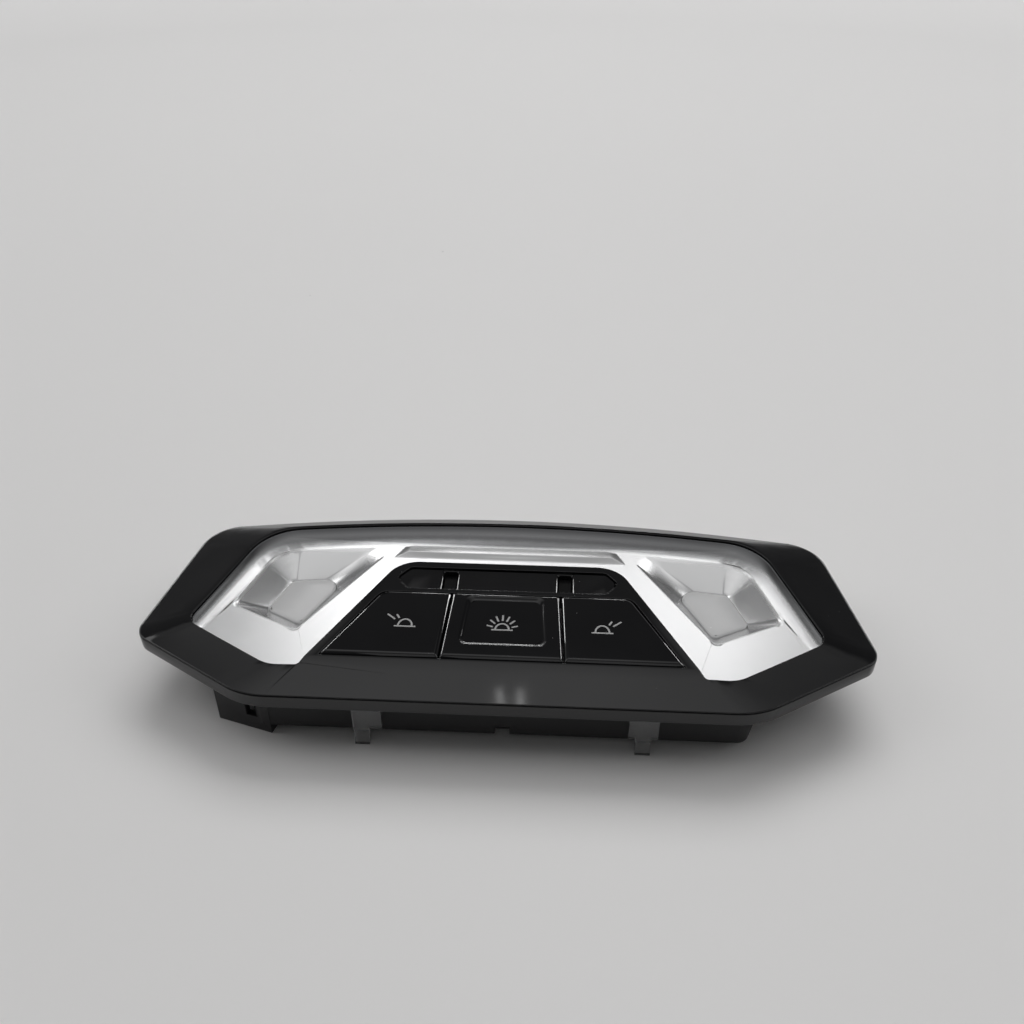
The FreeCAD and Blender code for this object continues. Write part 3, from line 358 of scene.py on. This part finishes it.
def metalFinish(name, settings, marks=metalMarks):
    # plated metal with drawing lines along the piece and small stains
    made = Finish(name)
    lines = made.grain(marks["line"], made.stretched(settings["stretch"]))
    stain = made.noise(marks["stain"], 3)
    made.feed("Base Color", made.mix(stain, settings["dark"], settings["pale"]))
    rough = settings["roughness"] + lines * marks["lineRough"] + stain * marks["stainRough"]
    made.feed("Roughness", rough)
    made.fixed({"Metallic": 1.0})
    edge = made.soft(settings["edge"])
    made.feed("Normal", made.bump(lines, marks["lineStrength"], marks["lineDepth"], edge))
    return made.material


finishSettings = {
    "glossBlack": {"dark": (0.007, 0.007, 0.008), "pale": (0.011, 0.011, 0.012),
                   "roughness": 0.035, "dustGap": 2.4, "edge": 0.22},
    "keyBlack": {"dark": (0.004, 0.004, 0.005), "pale": (0.007, 0.007, 0.008),
                 "roughness": 0.015, "dustGap": 3.0, "edge": 0.18},
    "satinSilver": {
        # the third colour below is the painted shade laid on the silver beside the bezel
        "dark": (0.83, 0.833, 0.838), "pale": (0.90, 0.90, 0.905), "smoke": (0.05, 0.052, 0.055),
        "roughness": 0.27, "cloud": 9, "cloudRough": 0.06, "edge": 0.3,
        "grain": 0.4, "grainSize": 0.24, "grainDepth": 0.012, "grainRough": 0.05,
        "streak": 0.22, "streakSize": 0.35, "streakDepth": 0.03, "streakStretch": (1, 0.12, 0.12),
        "face": 16.7, "climb": 1.4,  # height of the flat face, and how far the edge climbs from it
        "wallSharp": 900.0, "wallStops": [(0.0, 0), (0.4, 1)], "wallSmooth": 0.07,
        "ridgeEnd": 29, "ridgeBack": 19.2, "ridgeSlack": 0.3,
        # how much painted shade falls on the shelf, along the back and at the sides, and how much
        # smoother it is there
        "shelfSmoke": 0.87, "shelfSharp": 600.0,
        "backSharp": 50.0, "backStops": [(0.45, 0), (0.95, 1)],
        "smokeStops": [(0.0, 0), (0.04, 0.66), (0.14, 0.8), (0.47, 0.88), (1.0, 0.94)],
        "sideStops": [(0.0, 0), (0.08, 0.25), (0.3, 0.55), (0.6, 0.8), (1.0, 0.93)],
        "smokeSmooth": 0.1,
    },
    "clearLens": {"dark": (0.86, 0.86, 0.865), "pale": (0.92, 0.92, 0.92),
                  "roughness": 0.2, "through": 0.25, "edge": 0.2},
    "clearPlastic": {"dark": (0.86, 0.87, 0.875), "pale": (0.94, 0.945, 0.95),
                     "roughness": 0.06, "through": 0.95, "edge": 0.2},
    "smokedGuide": {"dark": (0.030, 0.031, 0.033), "pale": (0.05, 0.051, 0.053),
                    "roughness": 0.1, "through": 0.85, "edge": 0.15},
    "whitePlastic": {"dark": (0.70, 0.70, 0.68), "pale": (0.78, 0.78, 0.76),
                     "roughness": 0.42, "grain": 0.3, "depth": 0.1, "edge": 0.2},
    "matteBlack": {"dark": (0.007, 0.007, 0.008), "pale": (0.013, 0.013, 0.014),
                   "roughness": 0.42, "grain": 0.35, "depth": 0.35, "edge": 0.25},
    "boardGreen": {
        "mask": (0.012, 0.07, 0.03), "track": (0.03, 0.13, 0.05), "pad": (0.72, 0.7, 0.66),
        "trackGap": 3.1, "trackWide": 0.06, "padGap": 4.6, "padWide": 0.11, "padMetal": 0.9,
        "roughness": 0.42, "grain": 0.4, "grainRough": 0.1, "padSmooth": 0.15,
        "relief": 0.2, "reliefDepth": 0.03,
    },
    "chipBlack": {"dark": (0.016, 0.016, 0.017), "pale": (0.03, 0.03, 0.032),
                  "roughness": 0.5, "grain": 0.12, "depth": 0.2, "edge": 0.08},
    "ledYellow": {"dark": (0.74, 0.58, 0.12), "pale": (0.82, 0.7, 0.26),
                  "roughness": 0.3, "grain": 0.2, "depth": 0.1, "edge": 0.08},
    "pinMetal": {"dark": (0.66, 0.56, 0.34), "pale": (0.78, 0.7, 0.48),
                 "roughness": 0.2, "stretch": (1, 0.1, 1), "edge": 0.06},
    "screwSteel": {"dark": (0.46, 0.46, 0.47), "pale": (0.62, 0.62, 0.63),
                   "roughness": 0.24, "stretch": (1, 1, 0.15), "edge": 0.12},
    "printWhite": {"dark": (0.62, 0.62, 0.62), "pale": (0.72, 0.72, 0.72),
                   "roughness": 0.38, "grain": 0.1, "depth": 0.05, "edge": 0.02},
}


def finishBy(maker, name):
    return maker(name, finishSettings[name])


finishes = {
    "gloss_black": finishBy(glossPlastic, "glossBlack"),
    "key_black": finishBy(glossPlastic, "keyBlack"),
    "satin_silver": finishBy(satinSilverFinish, "satinSilver"),
    "clear_lens": finishBy(clearPlastic, "clearLens"),
    "clear_plastic": finishBy(clearPlastic, "clearPlastic"),
    "white_plastic": finishBy(grainedPlastic, "whitePlastic"),
    "matte_black": finishBy(grainedPlastic, "matteBlack"),
    "board_green": finishBy(boardFinish, "boardGreen"),
    "chip_black": finishBy(grainedPlastic, "chipBlack"),
    "led_yellow": finishBy(grainedPlastic, "ledYellow"),
    "pin_metal": finishBy(metalFinish, "pinMetal"),
    "screw_steel": finishBy(metalFinish, "screwSteel"),
}
smokedGuide = finishBy(clearPlastic, "smokedGuide")
printWhite = finishBy(grainedPlastic, "printWhite")
record = frame["record"]
slotOf = {part["node"]: part["material_slot"] for part in record["subparts"]}
bodies = record["behaviour"]["bodies"]
bodyOf = {node: body for body, members in bodies.items() for node in members}
for name, piece in nodes.items():
    piece.data.materials.clear()
    piece.data.materials.append(finishes[slotOf[name]])
for name in ("left_slot_guide", "right_slot_guide"):
    nodes[name].data.materials[0] = smokedGuide
print("finishes made", len(finishSettings))


# the mouldings again, with their edges softened and their flats shaded level

softenSettings = {
    "bezel": {"width": 0.11, "segments": 2, "facet": 1e-6},  # square metres of a corner facet
    "silver_trim": {"width": 0.13, "segments": 2, "rounded": True},
    "slot_bar": {"width": 0.28, "segments": 4},
    "left_button": {"width": 0.3, "segments": 4},
    "centre_button": {"width": 0.3, "segments": 4},
    "right_button": {"width": 0.3, "segments": 4},
    "left_lens": {"width": 0.1, "segments": 2},
    "right_lens": {"width": 0.1, "segments": 2},
    "rear_housing": {"width": 0.11, "segments": 2, "join": True},
    "clear_frame": {"width": 0.14, "segments": 2},
    "connector_socket": {"width": 0.12, "segments": 2},
}
edgeSettings = {
    "merge": 2e-6,  # metres
    "turn": 26,  # degrees from which an edge is softened
    "joinTurn": 0.5,
    "joinShape": 180,
}
rimSettings = {
    "height": 16.7,
    "slack": 0.02,
    "drop": 2,  # mm that a pocket wall goes down at least
    "turns": (0.2, 1.4),
    "ridgeHalf": 36,  # the edges by the ridge stay sharp
    "ridgeFront": 12,
    "width": 0.7,
    "segments": 4,
}
normalSettings = {
    "sharp": 40,  # degrees at which faces no longer shade as one
    "crease": 8,  # the same beside a level face
    "level": 0.99999,
    "ring": 0.4,  # mm, narrowest region that keeps a crease
    "plane": 0.999995,  # faces as parallel as this are one region
    "flat": 150e-6,  # square metres of a large region
    "flatWeight": 10000,
    "facetWeight": 100,
}


def plainMesh(obj, name):
    # the evaluated result as a mesh of its own
    shown = obj.evaluated_get(bpy.context.evaluated_depsgraph_get())
    mesh = bpy.data.meshes.new_from_object(shown)
    mesh.name = name
    return mesh


def roundRim(form, settings):
    # edge where a pocket wall leaves the flat face
    height = settings["height"]
    gentlest, steepest = settings["turns"]
    half = settings["ridgeHalf"] * mm
    front = settings["ridgeFront"] * mm
    rim = []
    for edge in form.edges:
        ends = [corner.co for corner in edge.verts]
        lowest = min(corner.co.z for face in edge.link_faces for corner in face.verts)
        flat = all(abs(end.z - height * mm) < settings["slack"] * mm for end in ends)
        drops = lowest < (height - settings["drop"]) * mm
        steep = edge.is_manifold and gentlest < edge.calc_face_angle(0) < steepest
        byRidge = all(abs(end.x) < half and end.y > front for end in ends)
        if flat and drops and steep and not byRidge:
            rim.append(edge)
    bmesh.ops.bevel(form, geom=rim, offset=settings["width"] * mm, segments=settings["segments"],
                    profile=0.5, affect="EDGES", clamp_overlap=False)


def flatRegions(form, plane):
    # number of each face's flat region, and the regions' areas and widths
    region = {}
    areas = []
    widths = []
    for face in form.faces:
        if face in region:
            continue
        region[face] = len(areas)
        area = 0.0
        longest = 0.0
        waiting = [face]
        while waiting:
            one = waiting.pop()
            area += one.calc_area()
            for edge in one.edges:
                longest = max(longest, edge.calc_length())
                for other in edge.link_faces:
                    if other not in region and other.normal.dot(face.normal) > plane:
                        region[other] = len(areas)
                        waiting.append(other)
        areas.append(area)
        widths.append(area / longest)
    return region, areas, widths


def levelNormals(mesh, facet, settings):
    # a corner beside a large flat region takes that region's normal, so flats mirror cleanly
    form = bmesh.new()
    form.from_mesh(mesh)
    region, areas, widths = flatRegions(form, settings["plane"])
    flat = settings["flat"]

    def joins(one, other):
        pair = (region[one], region[other])
        level = max(one.normal.z, other.normal.z) > settings["level"]
        large = max(areas[number] for number in pair) > flat
        wide = min(widths[number] for number in pair) > settings["ring"] * mm
        limit = settings["crease" if level and large and wide else "sharp"]
        return one.normal.angle(other.normal, 0) < math.radians(limit)

    def weight(one):
        if areas[region[one]] > flat:
            return settings["flatWeight"]
        return settings["facetWeight"] if one.calc_area() > facet else 1

    normals = [(0, 0, 1)] * len(mesh.loops)
    for corner in form.verts:
        left = list(corner.link_faces)
        while left:
            fan = [left.pop()]
            for one in fan:
                for edge in one.edges:
                    for other in edge.link_faces if corner in edge.verts else ():
                        if other in left and joins(one, other):
                            left.remove(other)
                            fan.append(other)
            loops = [loop for one in fan for loop in one.loops if loop.vert == corner]
            normal = Vector()
            for loop in loops:
                normal += loop.face.normal * loop.calc_angle() * weight(loop.face)
            normal.normalize()
            for loop in loops:
                normals[loop.index] = normal
    form.free()
    mesh.shade_smooth()
    mesh.normals_split_custom_set(normals)


def softened(name, settings):
    mesh = nodes[name].data.copy()
    form = bmesh.new()
    form.from_mesh(mesh)
    bmesh.ops.remove_doubles(form, verts=form.verts, dist=edgeSettings["merge"])
    if "join" in settings:
        bmesh.ops.join_triangles(form, faces=form.faces,
                                 angle_face_threshold=math.radians(edgeSettings["joinTurn"]),
                                 angle_shape_threshold=math.radians(edgeSettings["joinShape"]))
    if "rounded" in settings:
        roundRim(form, rimSettings)
    form.to_mesh(mesh)
    form.free()
    mesh.shade_smooth()
    piece = bpy.data.objects.new(name + "_moulding", mesh)
    scene.collection.objects.link(piece)
    edge = piece.modifiers.new("edge", "BEVEL")
    edge.width = settings["width"] * mm
    edge.segments = settings["segments"]
    edge.limit_method = "ANGLE"
    edge.angle_limit = math.radians(edgeSettings["turn"])
    edge.use_clamp_overlap = False
    bpy.context.view_layer.update()
    result = plainMesh(piece, name + "_moulding")
    piece.modifiers.clear()
    piece.data = result
    levelNormals(result, settings.get("facet", math.inf), normalSettings)
    result.materials.clear()
    result.materials.append(finishes[slotOf[name]])
    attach(piece, bodyOf[name])
    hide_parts(name)
    return piece


mouldings = {name: softened(name, settings) for name, settings in softenSettings.items()}
print("mouldings softened")


# pieces that repeat or follow a path, grown by geometry nodes

class Growth(Wire):
    # a geometry tree with named inputs, and the plain mesh that it gives
    def __init__(self, name, inputs):
        super().__init__(bpy.data.node_groups.new(name, "GeometryNodeTree"))
        self.ids = {}
        for label, kind in {"Geometry": "Geometry", **inputs, "Finish": "Material"}.items():
            self.ids[label] = self.addSocket(label, kind, "INPUT")
        self.addSocket("Geometry", "Geometry", "OUTPUT")
        self.source = self.tree.nodes.new("NodeGroupInput")

    def addSocket(self, label, kind, way):
        made = self.tree.interface.new_socket(label, in_out=way, socket_type="NodeSocket" + kind)
        return made.identifier

    def given(self, label):
        return Wire(self.tree, self.source.outputs[label])

    def vector(self, x=0.0, y=0.0, z=0.0):
        return self.node("ShaderNodeCombineXYZ", None, {"X": x, "Y": y, "Z": z})

    def moved(self, shape, **change):
        return self.node("GeometryNodeTransform", None, {"Geometry": shape, **change})

    def row(self, count, step, first=(0, 0, 0)):
        links = {"Count": count, "Start Location": first, "Offset": step}
        return self.node("GeometryNodeMeshLine", {"mode": "OFFSET"}, links)

    def placed(self, points, shape, **change):
        links = {"Points": points, "Instance": shape, **change}
        return self.node("GeometryNodeInstanceOnPoints", None, links)

    def section(self, width, height):
        links = {"Width": width, "Height": height}
        return self.node("GeometryNodeCurvePrimitiveQuadrilateral", None, links)

    def joined(self, kind, shapes, settings=None, socket="Geometry"):
        made = self.node(kind, settings)
        for shape in shapes:
            self.tree.links.new(shape.socket, made.socket.node.inputs[socket])
        return made

    def united(self, shapes):
        settings = {"operation": "UNION", "solver": "EXACT"}
        return self.joined("GeometryNodeMeshBoolean", shapes, settings, "Mesh 2")

    def close(self, shape):
        real = self.node("GeometryNodeRealizeInstances", None, {"Geometry": shape})
        links = {"Geometry": real, "Material": self.given("Finish")}
        done = self.node("GeometryNodeSetMaterial", None, links)
        end = self.tree.nodes.new("NodeGroupOutput")
        self.tree.links.new(done.socket, end.inputs[0])

    def grow(self, name, values, points=(), edges=()):
        mesh = bpy.data.meshes.new(name)
        mesh.from_pydata([scaled(point) for point in points], edges, [])
        piece = bpy.data.objects.new(name, mesh)
        scene.collection.objects.link(piece)
        maker = piece.modifiers.new("growth", "NODES")
        maker.node_group = self.tree
        for label, value in values.items():
            maker[self.ids[label]] = value
        bpy.context.view_layer.update()
        result = plainMesh(piece, name)
        piece.modifiers.clear()
        piece.data = result
        return piece


def scaled(value):
    return [part * mm for part in value] if isinstance(value, tuple) else value * mm


def rowValues(settings, sizes, finish):
    # the size that a tree calls Head High is headHigh among the settings
    values = {"Count": settings["count"], "Finish": finish}
    for label in ("First", "Step", *sizes):
        values[label] = scaled(settings[label[0].lower() + label[1:].replace(" ", "")])
    return values


# screws from below, with a cross recess

screwSettings = {
    "first": (-64.5, 16.2, 1.0),
    "step": (129.0, 0, 0),
    "count": 2,
    "head": 2.3,
    "crown": 1.85,  # flat of the head
    "headHigh": 1.5,
    "chamfer": 0.45,
    "shank": 1.1,
    "length": 8.0,
    "recessLong": 2.5,
    "recessWide": 0.5,
    "recessDeep": 0.8,
    "overlap": 0.4,  # of shank and head
    "headSides": 40,
    "shankSides": 24,
    "turns": (0.3, 0.7),  # radians of the first and from one to the next
}
screwSizes = ("Head", "Crown", "Head High", "Chamfer", "Shank", "Length",
              "Recess Long", "Recess Wide", "Recess Deep")


def screwTree(settings):
    growth = Growth("screwRow", {"First": "Vector", "Step": "Vector", "Count": "Int",
                                 **dict.fromkeys(screwSizes, "Float")})
    given = growth.given
    overlap = settings["overlap"] * mm
    links = {"Vertices": settings["headSides"], "Radius Top": given("Head"),
             "Radius Bottom": given("Crown"), "Depth": given("Chamfer")}
    crown = growth.node("GeometryNodeMeshCone", None, links)
    rest = given("Head High") - given("Chamfer")
    links = {"Vertices": settings["headSides"], "Radius": given("Head"), "Depth": rest}
    head = growth.node("GeometryNodeMeshCylinder", None, links)
    head = growth.moved(head, Translation=growth.vector(z=given("Chamfer") + rest * 0.5))
    links = {"Vertices": settings["shankSides"], "Radius": given("Shank"),
             "Depth": given("Length") + overlap}
    shank = growth.node("GeometryNodeMeshCylinder", None, links)
    place = given("Head High") + given("Length") * 0.5 - overlap / 2
    shank = growth.moved(shank, Translation=growth.vector(z=place))
    size = growth.vector(given("Recess Long"), given("Recess Wide"), given("Recess Deep") * 2.0)
    bar = growth.node("GeometryNodeMeshCube", None, {"Size": size})
    bars = [growth.moved(bar, Rotation=(0, 0, turn)) for turn in (0, math.pi / 2)]
    links = {"Mesh 1": growth.united([crown, head, shank]), "Mesh 2": growth.united(bars)}
    cut = {"operation": "DIFFERENCE", "solver": "EXACT"}
    screw = growth.node("GeometryNodeMeshBoolean", cut, links)
    row = growth.row(given("Count"), given("Step"), given("First"))
    firstTurn, nextTurn = settings["turns"]  # no two are driven home alike
    angle = growth.node("GeometryNodeInputIndex") * nextTurn + firstTurn
    growth.close(growth.placed(row, screw, Rotation=growth.vector(z=angle)))
    return growth


screwValues = rowValues(screwSettings, screwSizes, finishes["screw_steel"])
screws = screwTree(screwSettings).grow("cross_screws", screwValues)
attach(screws, bodyOf["housing_screws"])
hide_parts("housing_screws")


# bent pins of the connector, with narrowed tips

pinSettings = {
    "path": [(0, 13.27, 6.2), (0, 13.27, 9.7), (0, 21.3, 9.7), (0, 21.95, 9.7)],
    "first": (-5.5, 0, 0),
    "step": (2.2, 0, 0),
    "count": 6,
    "width": 0.64,
    "bend": 0.7,
    "bendSteps": 5,
    "tip": 0.5,  # share of the width
}


def pinTree(settings):
    growth = Growth("pinRow", {"First": "Vector", "Step": "Vector", "Count": "Int",
                               "Width": "Float", "Bend": "Float", "Tip": "Float"})
    given = growth.given
    path = growth.node("GeometryNodeMeshToCurve", None, {"Mesh": given("Geometry")})
    links = {"Start Size": 0, "End Size": 1}
    last = growth.node("GeometryNodeCurveEndpointSelection", None, links)
    links = {"Curve": path, "Selection": last, "Radius": given("Tip")}
    path = growth.node("GeometryNodeSetCurveRadius", None, links)
    links = {"Curve": path, "Radius": given("Bend"), "Limit Radius": True,
             "Count": settings["bendSteps"]}
    path = growth.node("GeometryNodeFilletCurve", {"mode": "POLY"}, links)
    links = {"Curve": path, "Profile Curve": growth.section(given("Width"), given("Width")),
             "Scale": growth.node("GeometryNodeInputRadius"), "Fill Caps": True}
    pin = growth.node("GeometryNodeCurveToMesh", None, links)
    row = growth.row(given("Count"), given("Step"), given("First"))
    growth.close(growth.placed(row, pin))
    return growth


pinValues = rowValues(pinSettings, ("Width", "Bend"), finishes["pin_metal"])
pinValues["Tip"] = pinSettings["tip"]
pinEdges = [(corner, corner + 1) for corner in range(len(pinSettings["path"]) - 1)]
pins = pinTree(pinSettings).grow("bent_pins", pinValues, pinSettings["path"], pinEdges)
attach(pins, bodyOf["connector_pins"])
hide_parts("connector_pins")
print("screws and pins grown", len(screws.data.polygons), len(pins.data.polygons))


# lamp signs on the keys: strokes swept along their lines, rays turned about the lamp

signSettings = {
    "width": 0.42,
    "sink": 0.05,
    "proud": 0.005,
    "bowlSteps": 18,
    "probe": 1,  # mm behind the bowl's middle, where the key's height is read
    "probeFrom": 50,
}
raySettings = {
    "from": 15,  # degrees
    "step": 25,
    "inner": 2.45,
    "outer": 4.1,
    "squeeze": (0.88, 1.12),
}
sideSign = {
    "middle": (-21.9, -11.3),
    "bowl": (1.55, 2.1),
    "strokes": [((-24.3, -11.5), (-19.5, -11.5)), ((-26.2, -7.7), (-24.3, -9.3)),
                ((-24.1, -7.7), (-23.4, -8.9))],
    "rays": 0,
}
centreSign = {
    "middle": (-0.3, -10.9),
    "bowl": (1.5, 1.8),
    "strokes": [((-2.7, -11.1), (2.1, -11.1))],
    "rays": 7,
}


def signTree():
    growth = Growth("printedLines", {"Width": "Float", "Thick": "Float", "Middle": "Vector",
                                     "Rays": "Int", "From": "Float", "Step": "Float",
                                     "Inner": "Float", "Outer": "Float", "Squeeze": "Vector"})
    given = growth.given
    lines = growth.node("GeometryNodeMeshToCurve", None, {"Mesh": given("Geometry")})
    links = {"Start": growth.vector(given("Inner")), "End": growth.vector(given("Outer"))}
    ray = growth.node("GeometryNodeCurvePrimitiveLine", None, links)
    hub = growth.row(given("Rays"), (0, 0, 0))
    angle = given("From") + growth.node("GeometryNodeInputIndex") * given("Step")
    fan = growth.placed(hub, ray, Rotation=growth.vector(z=angle))
    fan = growth.node("GeometryNodeRealizeInstances", None, {"Geometry": fan})
    fan = growth.moved(fan, Translation=given("Middle"), Scale=given("Squeeze"))
    paths = growth.joined("GeometryNodeJoinGeometry", [lines, fan])
    paths = growth.node("GeometryNodeSetCurveNormal", {"mode": "Z_UP"}, {"Curve": paths})
    links = {"Curve": paths, "Profile Curve": growth.section(given("Width"), given("Thick")),
             "Fill Caps": True}
    growth.close(growth.node("GeometryNodeCurveToMesh", None, links))
    return growth


def keyTopAt(key, x, y):
    # height of a key's face, in mm
    mesh = nodes[key].data
    corners = [corner.co for corner in mesh.vertices]
    faces = BVHTree.FromPolygons(corners, [face.vertices for face in mesh.polygons])
    above = scaled((x, y, signSettings["probeFrom"]))
    return faces.ray_cast(above, (0, 0, -1))[0].z / mm


def makeSign(key, sign, growth, settings, turn=1):
    middle = (sign["middle"][0] * turn, sign["middle"][1])
    wide, high = sign["bowl"]
    top = keyTopAt(key + "_button", middle[0], middle[1] + settings["probe"])
    height = top + (settings["proud"] - settings["sink"]) / 2
    points = []
    edges = []
    for step in range(settings["bowlSteps"] + 1):
        angle = math.pi * step / settings["bowlSteps"]
        x = middle[0] + wide * math.cos(angle)
        y = middle[1] + high * math.sin(angle)
        points.append((x, y, height))
        if step:
            edges.append((step - 1, step))
    for stroke in sign["strokes"]:
        points += [(x * turn, y, height) for x, y in stroke]
        edges.append((len(points) - 2, len(points) - 1))
    values = {"Width": scaled(settings["width"]),
              "Thick": scaled(settings["proud"] + settings["sink"]),
              "Middle": scaled((*middle, height)), "Rays": sign["rays"],
              "From": math.radians(raySettings["from"]), "Step": math.radians(raySettings["step"]),
              "Inner": scaled(raySettings["inner"]), "Outer": scaled(raySettings["outer"]),
              "Squeeze": (*raySettings["squeeze"], 1.0), "Finish": printWhite}
    sign = growth.grow(key + "_sign", values, points, edges)
    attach(sign, key + "_key")


signGrowth = signTree()
makeSign("left", sideSign, signGrowth, signSettings)
makeSign("right", sideSign, signGrowth, signSettings, turn=-1)
makeSign("centre", centreSign, signGrowth, signSettings)
print("signs printed")


# table, light and surroundings

stageSettings = {
    "table": (0.88, 0.872, 0.868),
    "clouded": 0.98,  # share of that colour in its clouds
    "cloud": 160,
    "roughness": 0.45,
    "fine": 1.2,
    "fineRough": 0.08,
    "fineStrength": 0.04,
    "fineDepth": 0.02,
    "crumbGap": 26,
    "crumb": 0.012,  # share of the gap
    "patch": 60,
    "patchFrom": 0.55,
    "dust": (0.2, 0.2, 0.2),
    "glow": [(0.2, 0.0), (0.5, 0.01), (1.0, 0.25)],  # by distance, the ramp ends at glowReach
    "glowReach": 1.4,  # metres, as reach is
    "glowColour": (0.99, 0.985, 0.985, 1),
    "reach": 8.0,
}


def tableFinish(settings):
    made = Finish("tablePaper")
    cloud = made.noise(settings["cloud"], 3)
    fine = made.noise(settings["fine"], 3)
    patch = made.noise(settings["patch"], 1) > settings["patchFrom"]
    crumbs = (made.cells(settings["crumbGap"]) < settings["crumb"]) * patch
    clouded = [part * settings["clouded"] for part in settings["table"]]
    tone = made.mix(cloud, clouded, settings["table"])
    made.feed("Base Color", made.mix(crumbs, tone, settings["dust"]))
    made.feed("Roughness", settings["roughness"] + fine * settings["fineRough"])
    made.feed("Normal", made.bump(fine, settings["fineStrength"], settings["fineDepth"]))
    rays = made.node("ShaderNodeLightPath")
    seen = rays + rays.beside("Is Glossy Ray") + rays.beside("Is Transmission Ray")
    away = made.node("ShaderNodeVectorMath", {"operation": "LENGTH"}, {0: made.place}, out=1)
    level = made.ramp(away / settings["glowReach"], settings["glow"])
    links = {"Color": settings["glowColour"], "Strength": made.maths("MINIMUM", seen, 1.0) * level}
    glow = made.node("ShaderNodeEmission", None, links)
    links = {0: Wire(made.tree, made.shader.outputs[0]), 1: glow}
    both = made.node("ShaderNodeAddShader", None, links)
    made.tree.links.new(both.socket, made.tree.nodes["Material Output"].inputs["Surface"])
    return made.material


def makeTable(settings):
    reach = settings["reach"]
    corners = [(-reach, -reach, 0), (reach, -reach, 0), (reach, reach, 0), (-reach, reach, 0)]
    mesh = bpy.data.meshes.new("table")
    mesh.from_pydata(corners, [], [(0, 1, 2, 3)])
    mesh.materials.append(tableFinish(settings))
    table = bpy.data.objects.new("table", mesh)
    scene.collection.objects.link(table)
    return table


roomSettings = {
    "byHeight": [(0.0, 0.45), (0.48, 0.9), (0.5, 1.3), (0.55, 1.1), (0.60, 0.5), (0.66, 0.19),
                 (0.76, 0.12), (0.85, 0.11), (0.90, 0.45), (0.96, 0.84), (1.0, 0.95)],
    "byDepth": [(0.0, 0.18), (0.35, 0.38), (0.5, 0.88), (0.6, 1.0)],  # darker behind the viewer
    "byWidth": [(0.0, 0.85), (0.35, 1.0), (0.52, 1.0), (0.67, 0.6), (1.0, 0.65)],  # and at right
    "strength": 1.0,
}


def makeSurroundings(settings):
    world = bpy.data.worlds.new("room")
    scene.world = world
    world.use_nodes = True
    tree = Wire(world.node_tree)
    shade = world.node_tree.nodes["Background"]
    place = tree.node("ShaderNodeTexCoord")

    def share(axis, stops):
        along = tree.node("ShaderNodeSeparateXYZ", None, {"Vector": place}).beside(axis)
        return tree.ramp(along * 0.5 + 0.5, settings[stops])

    level = share("Z", "byHeight") * share("Y", "byDepth") * share("X", "byWidth")
    world.node_tree.links.new(level.socket, shade.inputs["Color"])
    shade.inputs["Strength"].default_value = settings["strength"]


# at, aim: metres from the part; level: brightness of the lamp's face, 1 is white
silvered = ["silver_trim", "left_lens", "right_lens"]
glossy = ["bezel", "slot_bar", "left_button", "centre_button", "right_button"]
centre = (0, 0, 0)
lampSettings = {
    "sideLeft": {"at": (-1.10, 0.16, 0.92), "aim": (0, 0.25, 0), "size": (0.8, 0.7), "level": 1.5},
    "sideRight": {"at": (1.10, 0.16, 0.92), "aim": (0, 0.25, 0), "size": (0.8, 0.7), "level": 1.4},
    "tableLamp": {"at": (0.15, 0.85, 1.10), "aim": centre, "size": (1.2, 0.7), "level": 2.5,
                  "onto": ["table"]},
    "landLeft": {"at": (-0.24, 0.93, 0.87), "aim": centre, "size": (0.20, 0.30), "level": 3.4,
                 "onto": silvered},
    "landMiddle": {"at": (0, 0.95, 0.87), "aim": centre, "size": (0.3, 0.3), "level": 1.2,
                   "onto": silvered},
    "landRight": {"at": (0.24, 0.93, 0.87), "aim": centre, "size": (0.20, 0.30), "level": 2.3,
                  "onto": silvered},
    "landFront": {"at": (0, -0.95, 0.62), "aim": centre, "size": (0.9, 0.5), "level": 1.2,
                  "onto": silvered},
    "behind": {"at": (0.05, -0.8, 0.95), "aim": centre, "size": (0.7, 0.2), "level": 0.5},
    "lowLeft": {"at": (-0.84, 1.03, 0.20), "aim": centre, "size": (0.45, 0.20), "level": 12,
                "onto": glossy},
    "lowRight": {"at": (0.84, 1.03, 0.20), "aim": centre, "size": (0.45, 0.20), "level": 12,
                 "onto": glossy},
    "tubeNear": {"at": (-0.05, 0.35, 1.1), "aim": centre, "size": (0.008, 0.07), "level": 4},
    "tubeFar": {"at": (-0.025, 0.35, 1.1), "aim": centre, "size": (0.008, 0.07), "level": 4},
    "windowLeft": {"at": (-0.10, 1.25, 0.28), "aim": centre, "size": (0.15, 0.10), "level": 12,
                   "onto": glossy},
    "windowRight": {"at": (0.12, 1.25, 0.28), "aim": centre, "size": (0.15, 0.10), "level": 12,
                    "onto": glossy},
}


def makeLamp(name, settings, targets):
    data = bpy.data.lights.new(name, "AREA")
    data.shape = "RECTANGLE"
    data.size, data.size_y = settings["size"]
    data.energy = settings["level"] * math.pi * data.size * data.size_y  # watts for that brightness
    lamp = bpy.data.objects.new(name, data)
    setUp(lamp, Vector(settings["at"]), Vector(settings["aim"]))
    if "onto" in settings:  # a lamp flagged off from all but these
        chosen = bpy.data.collections.new(name + "Onto")
        for target in settings["onto"]:
            chosen.objects.link(targets[target])
        lamp.light_linking.receiver_collection = chosen


targets = {**mouldings, "table": makeTable(stageSettings)}
makeSurroundings(roomSettings)
for name, settings in lampSettings.items():
    makeLamp(name, settings, targets)
print("table and light set")
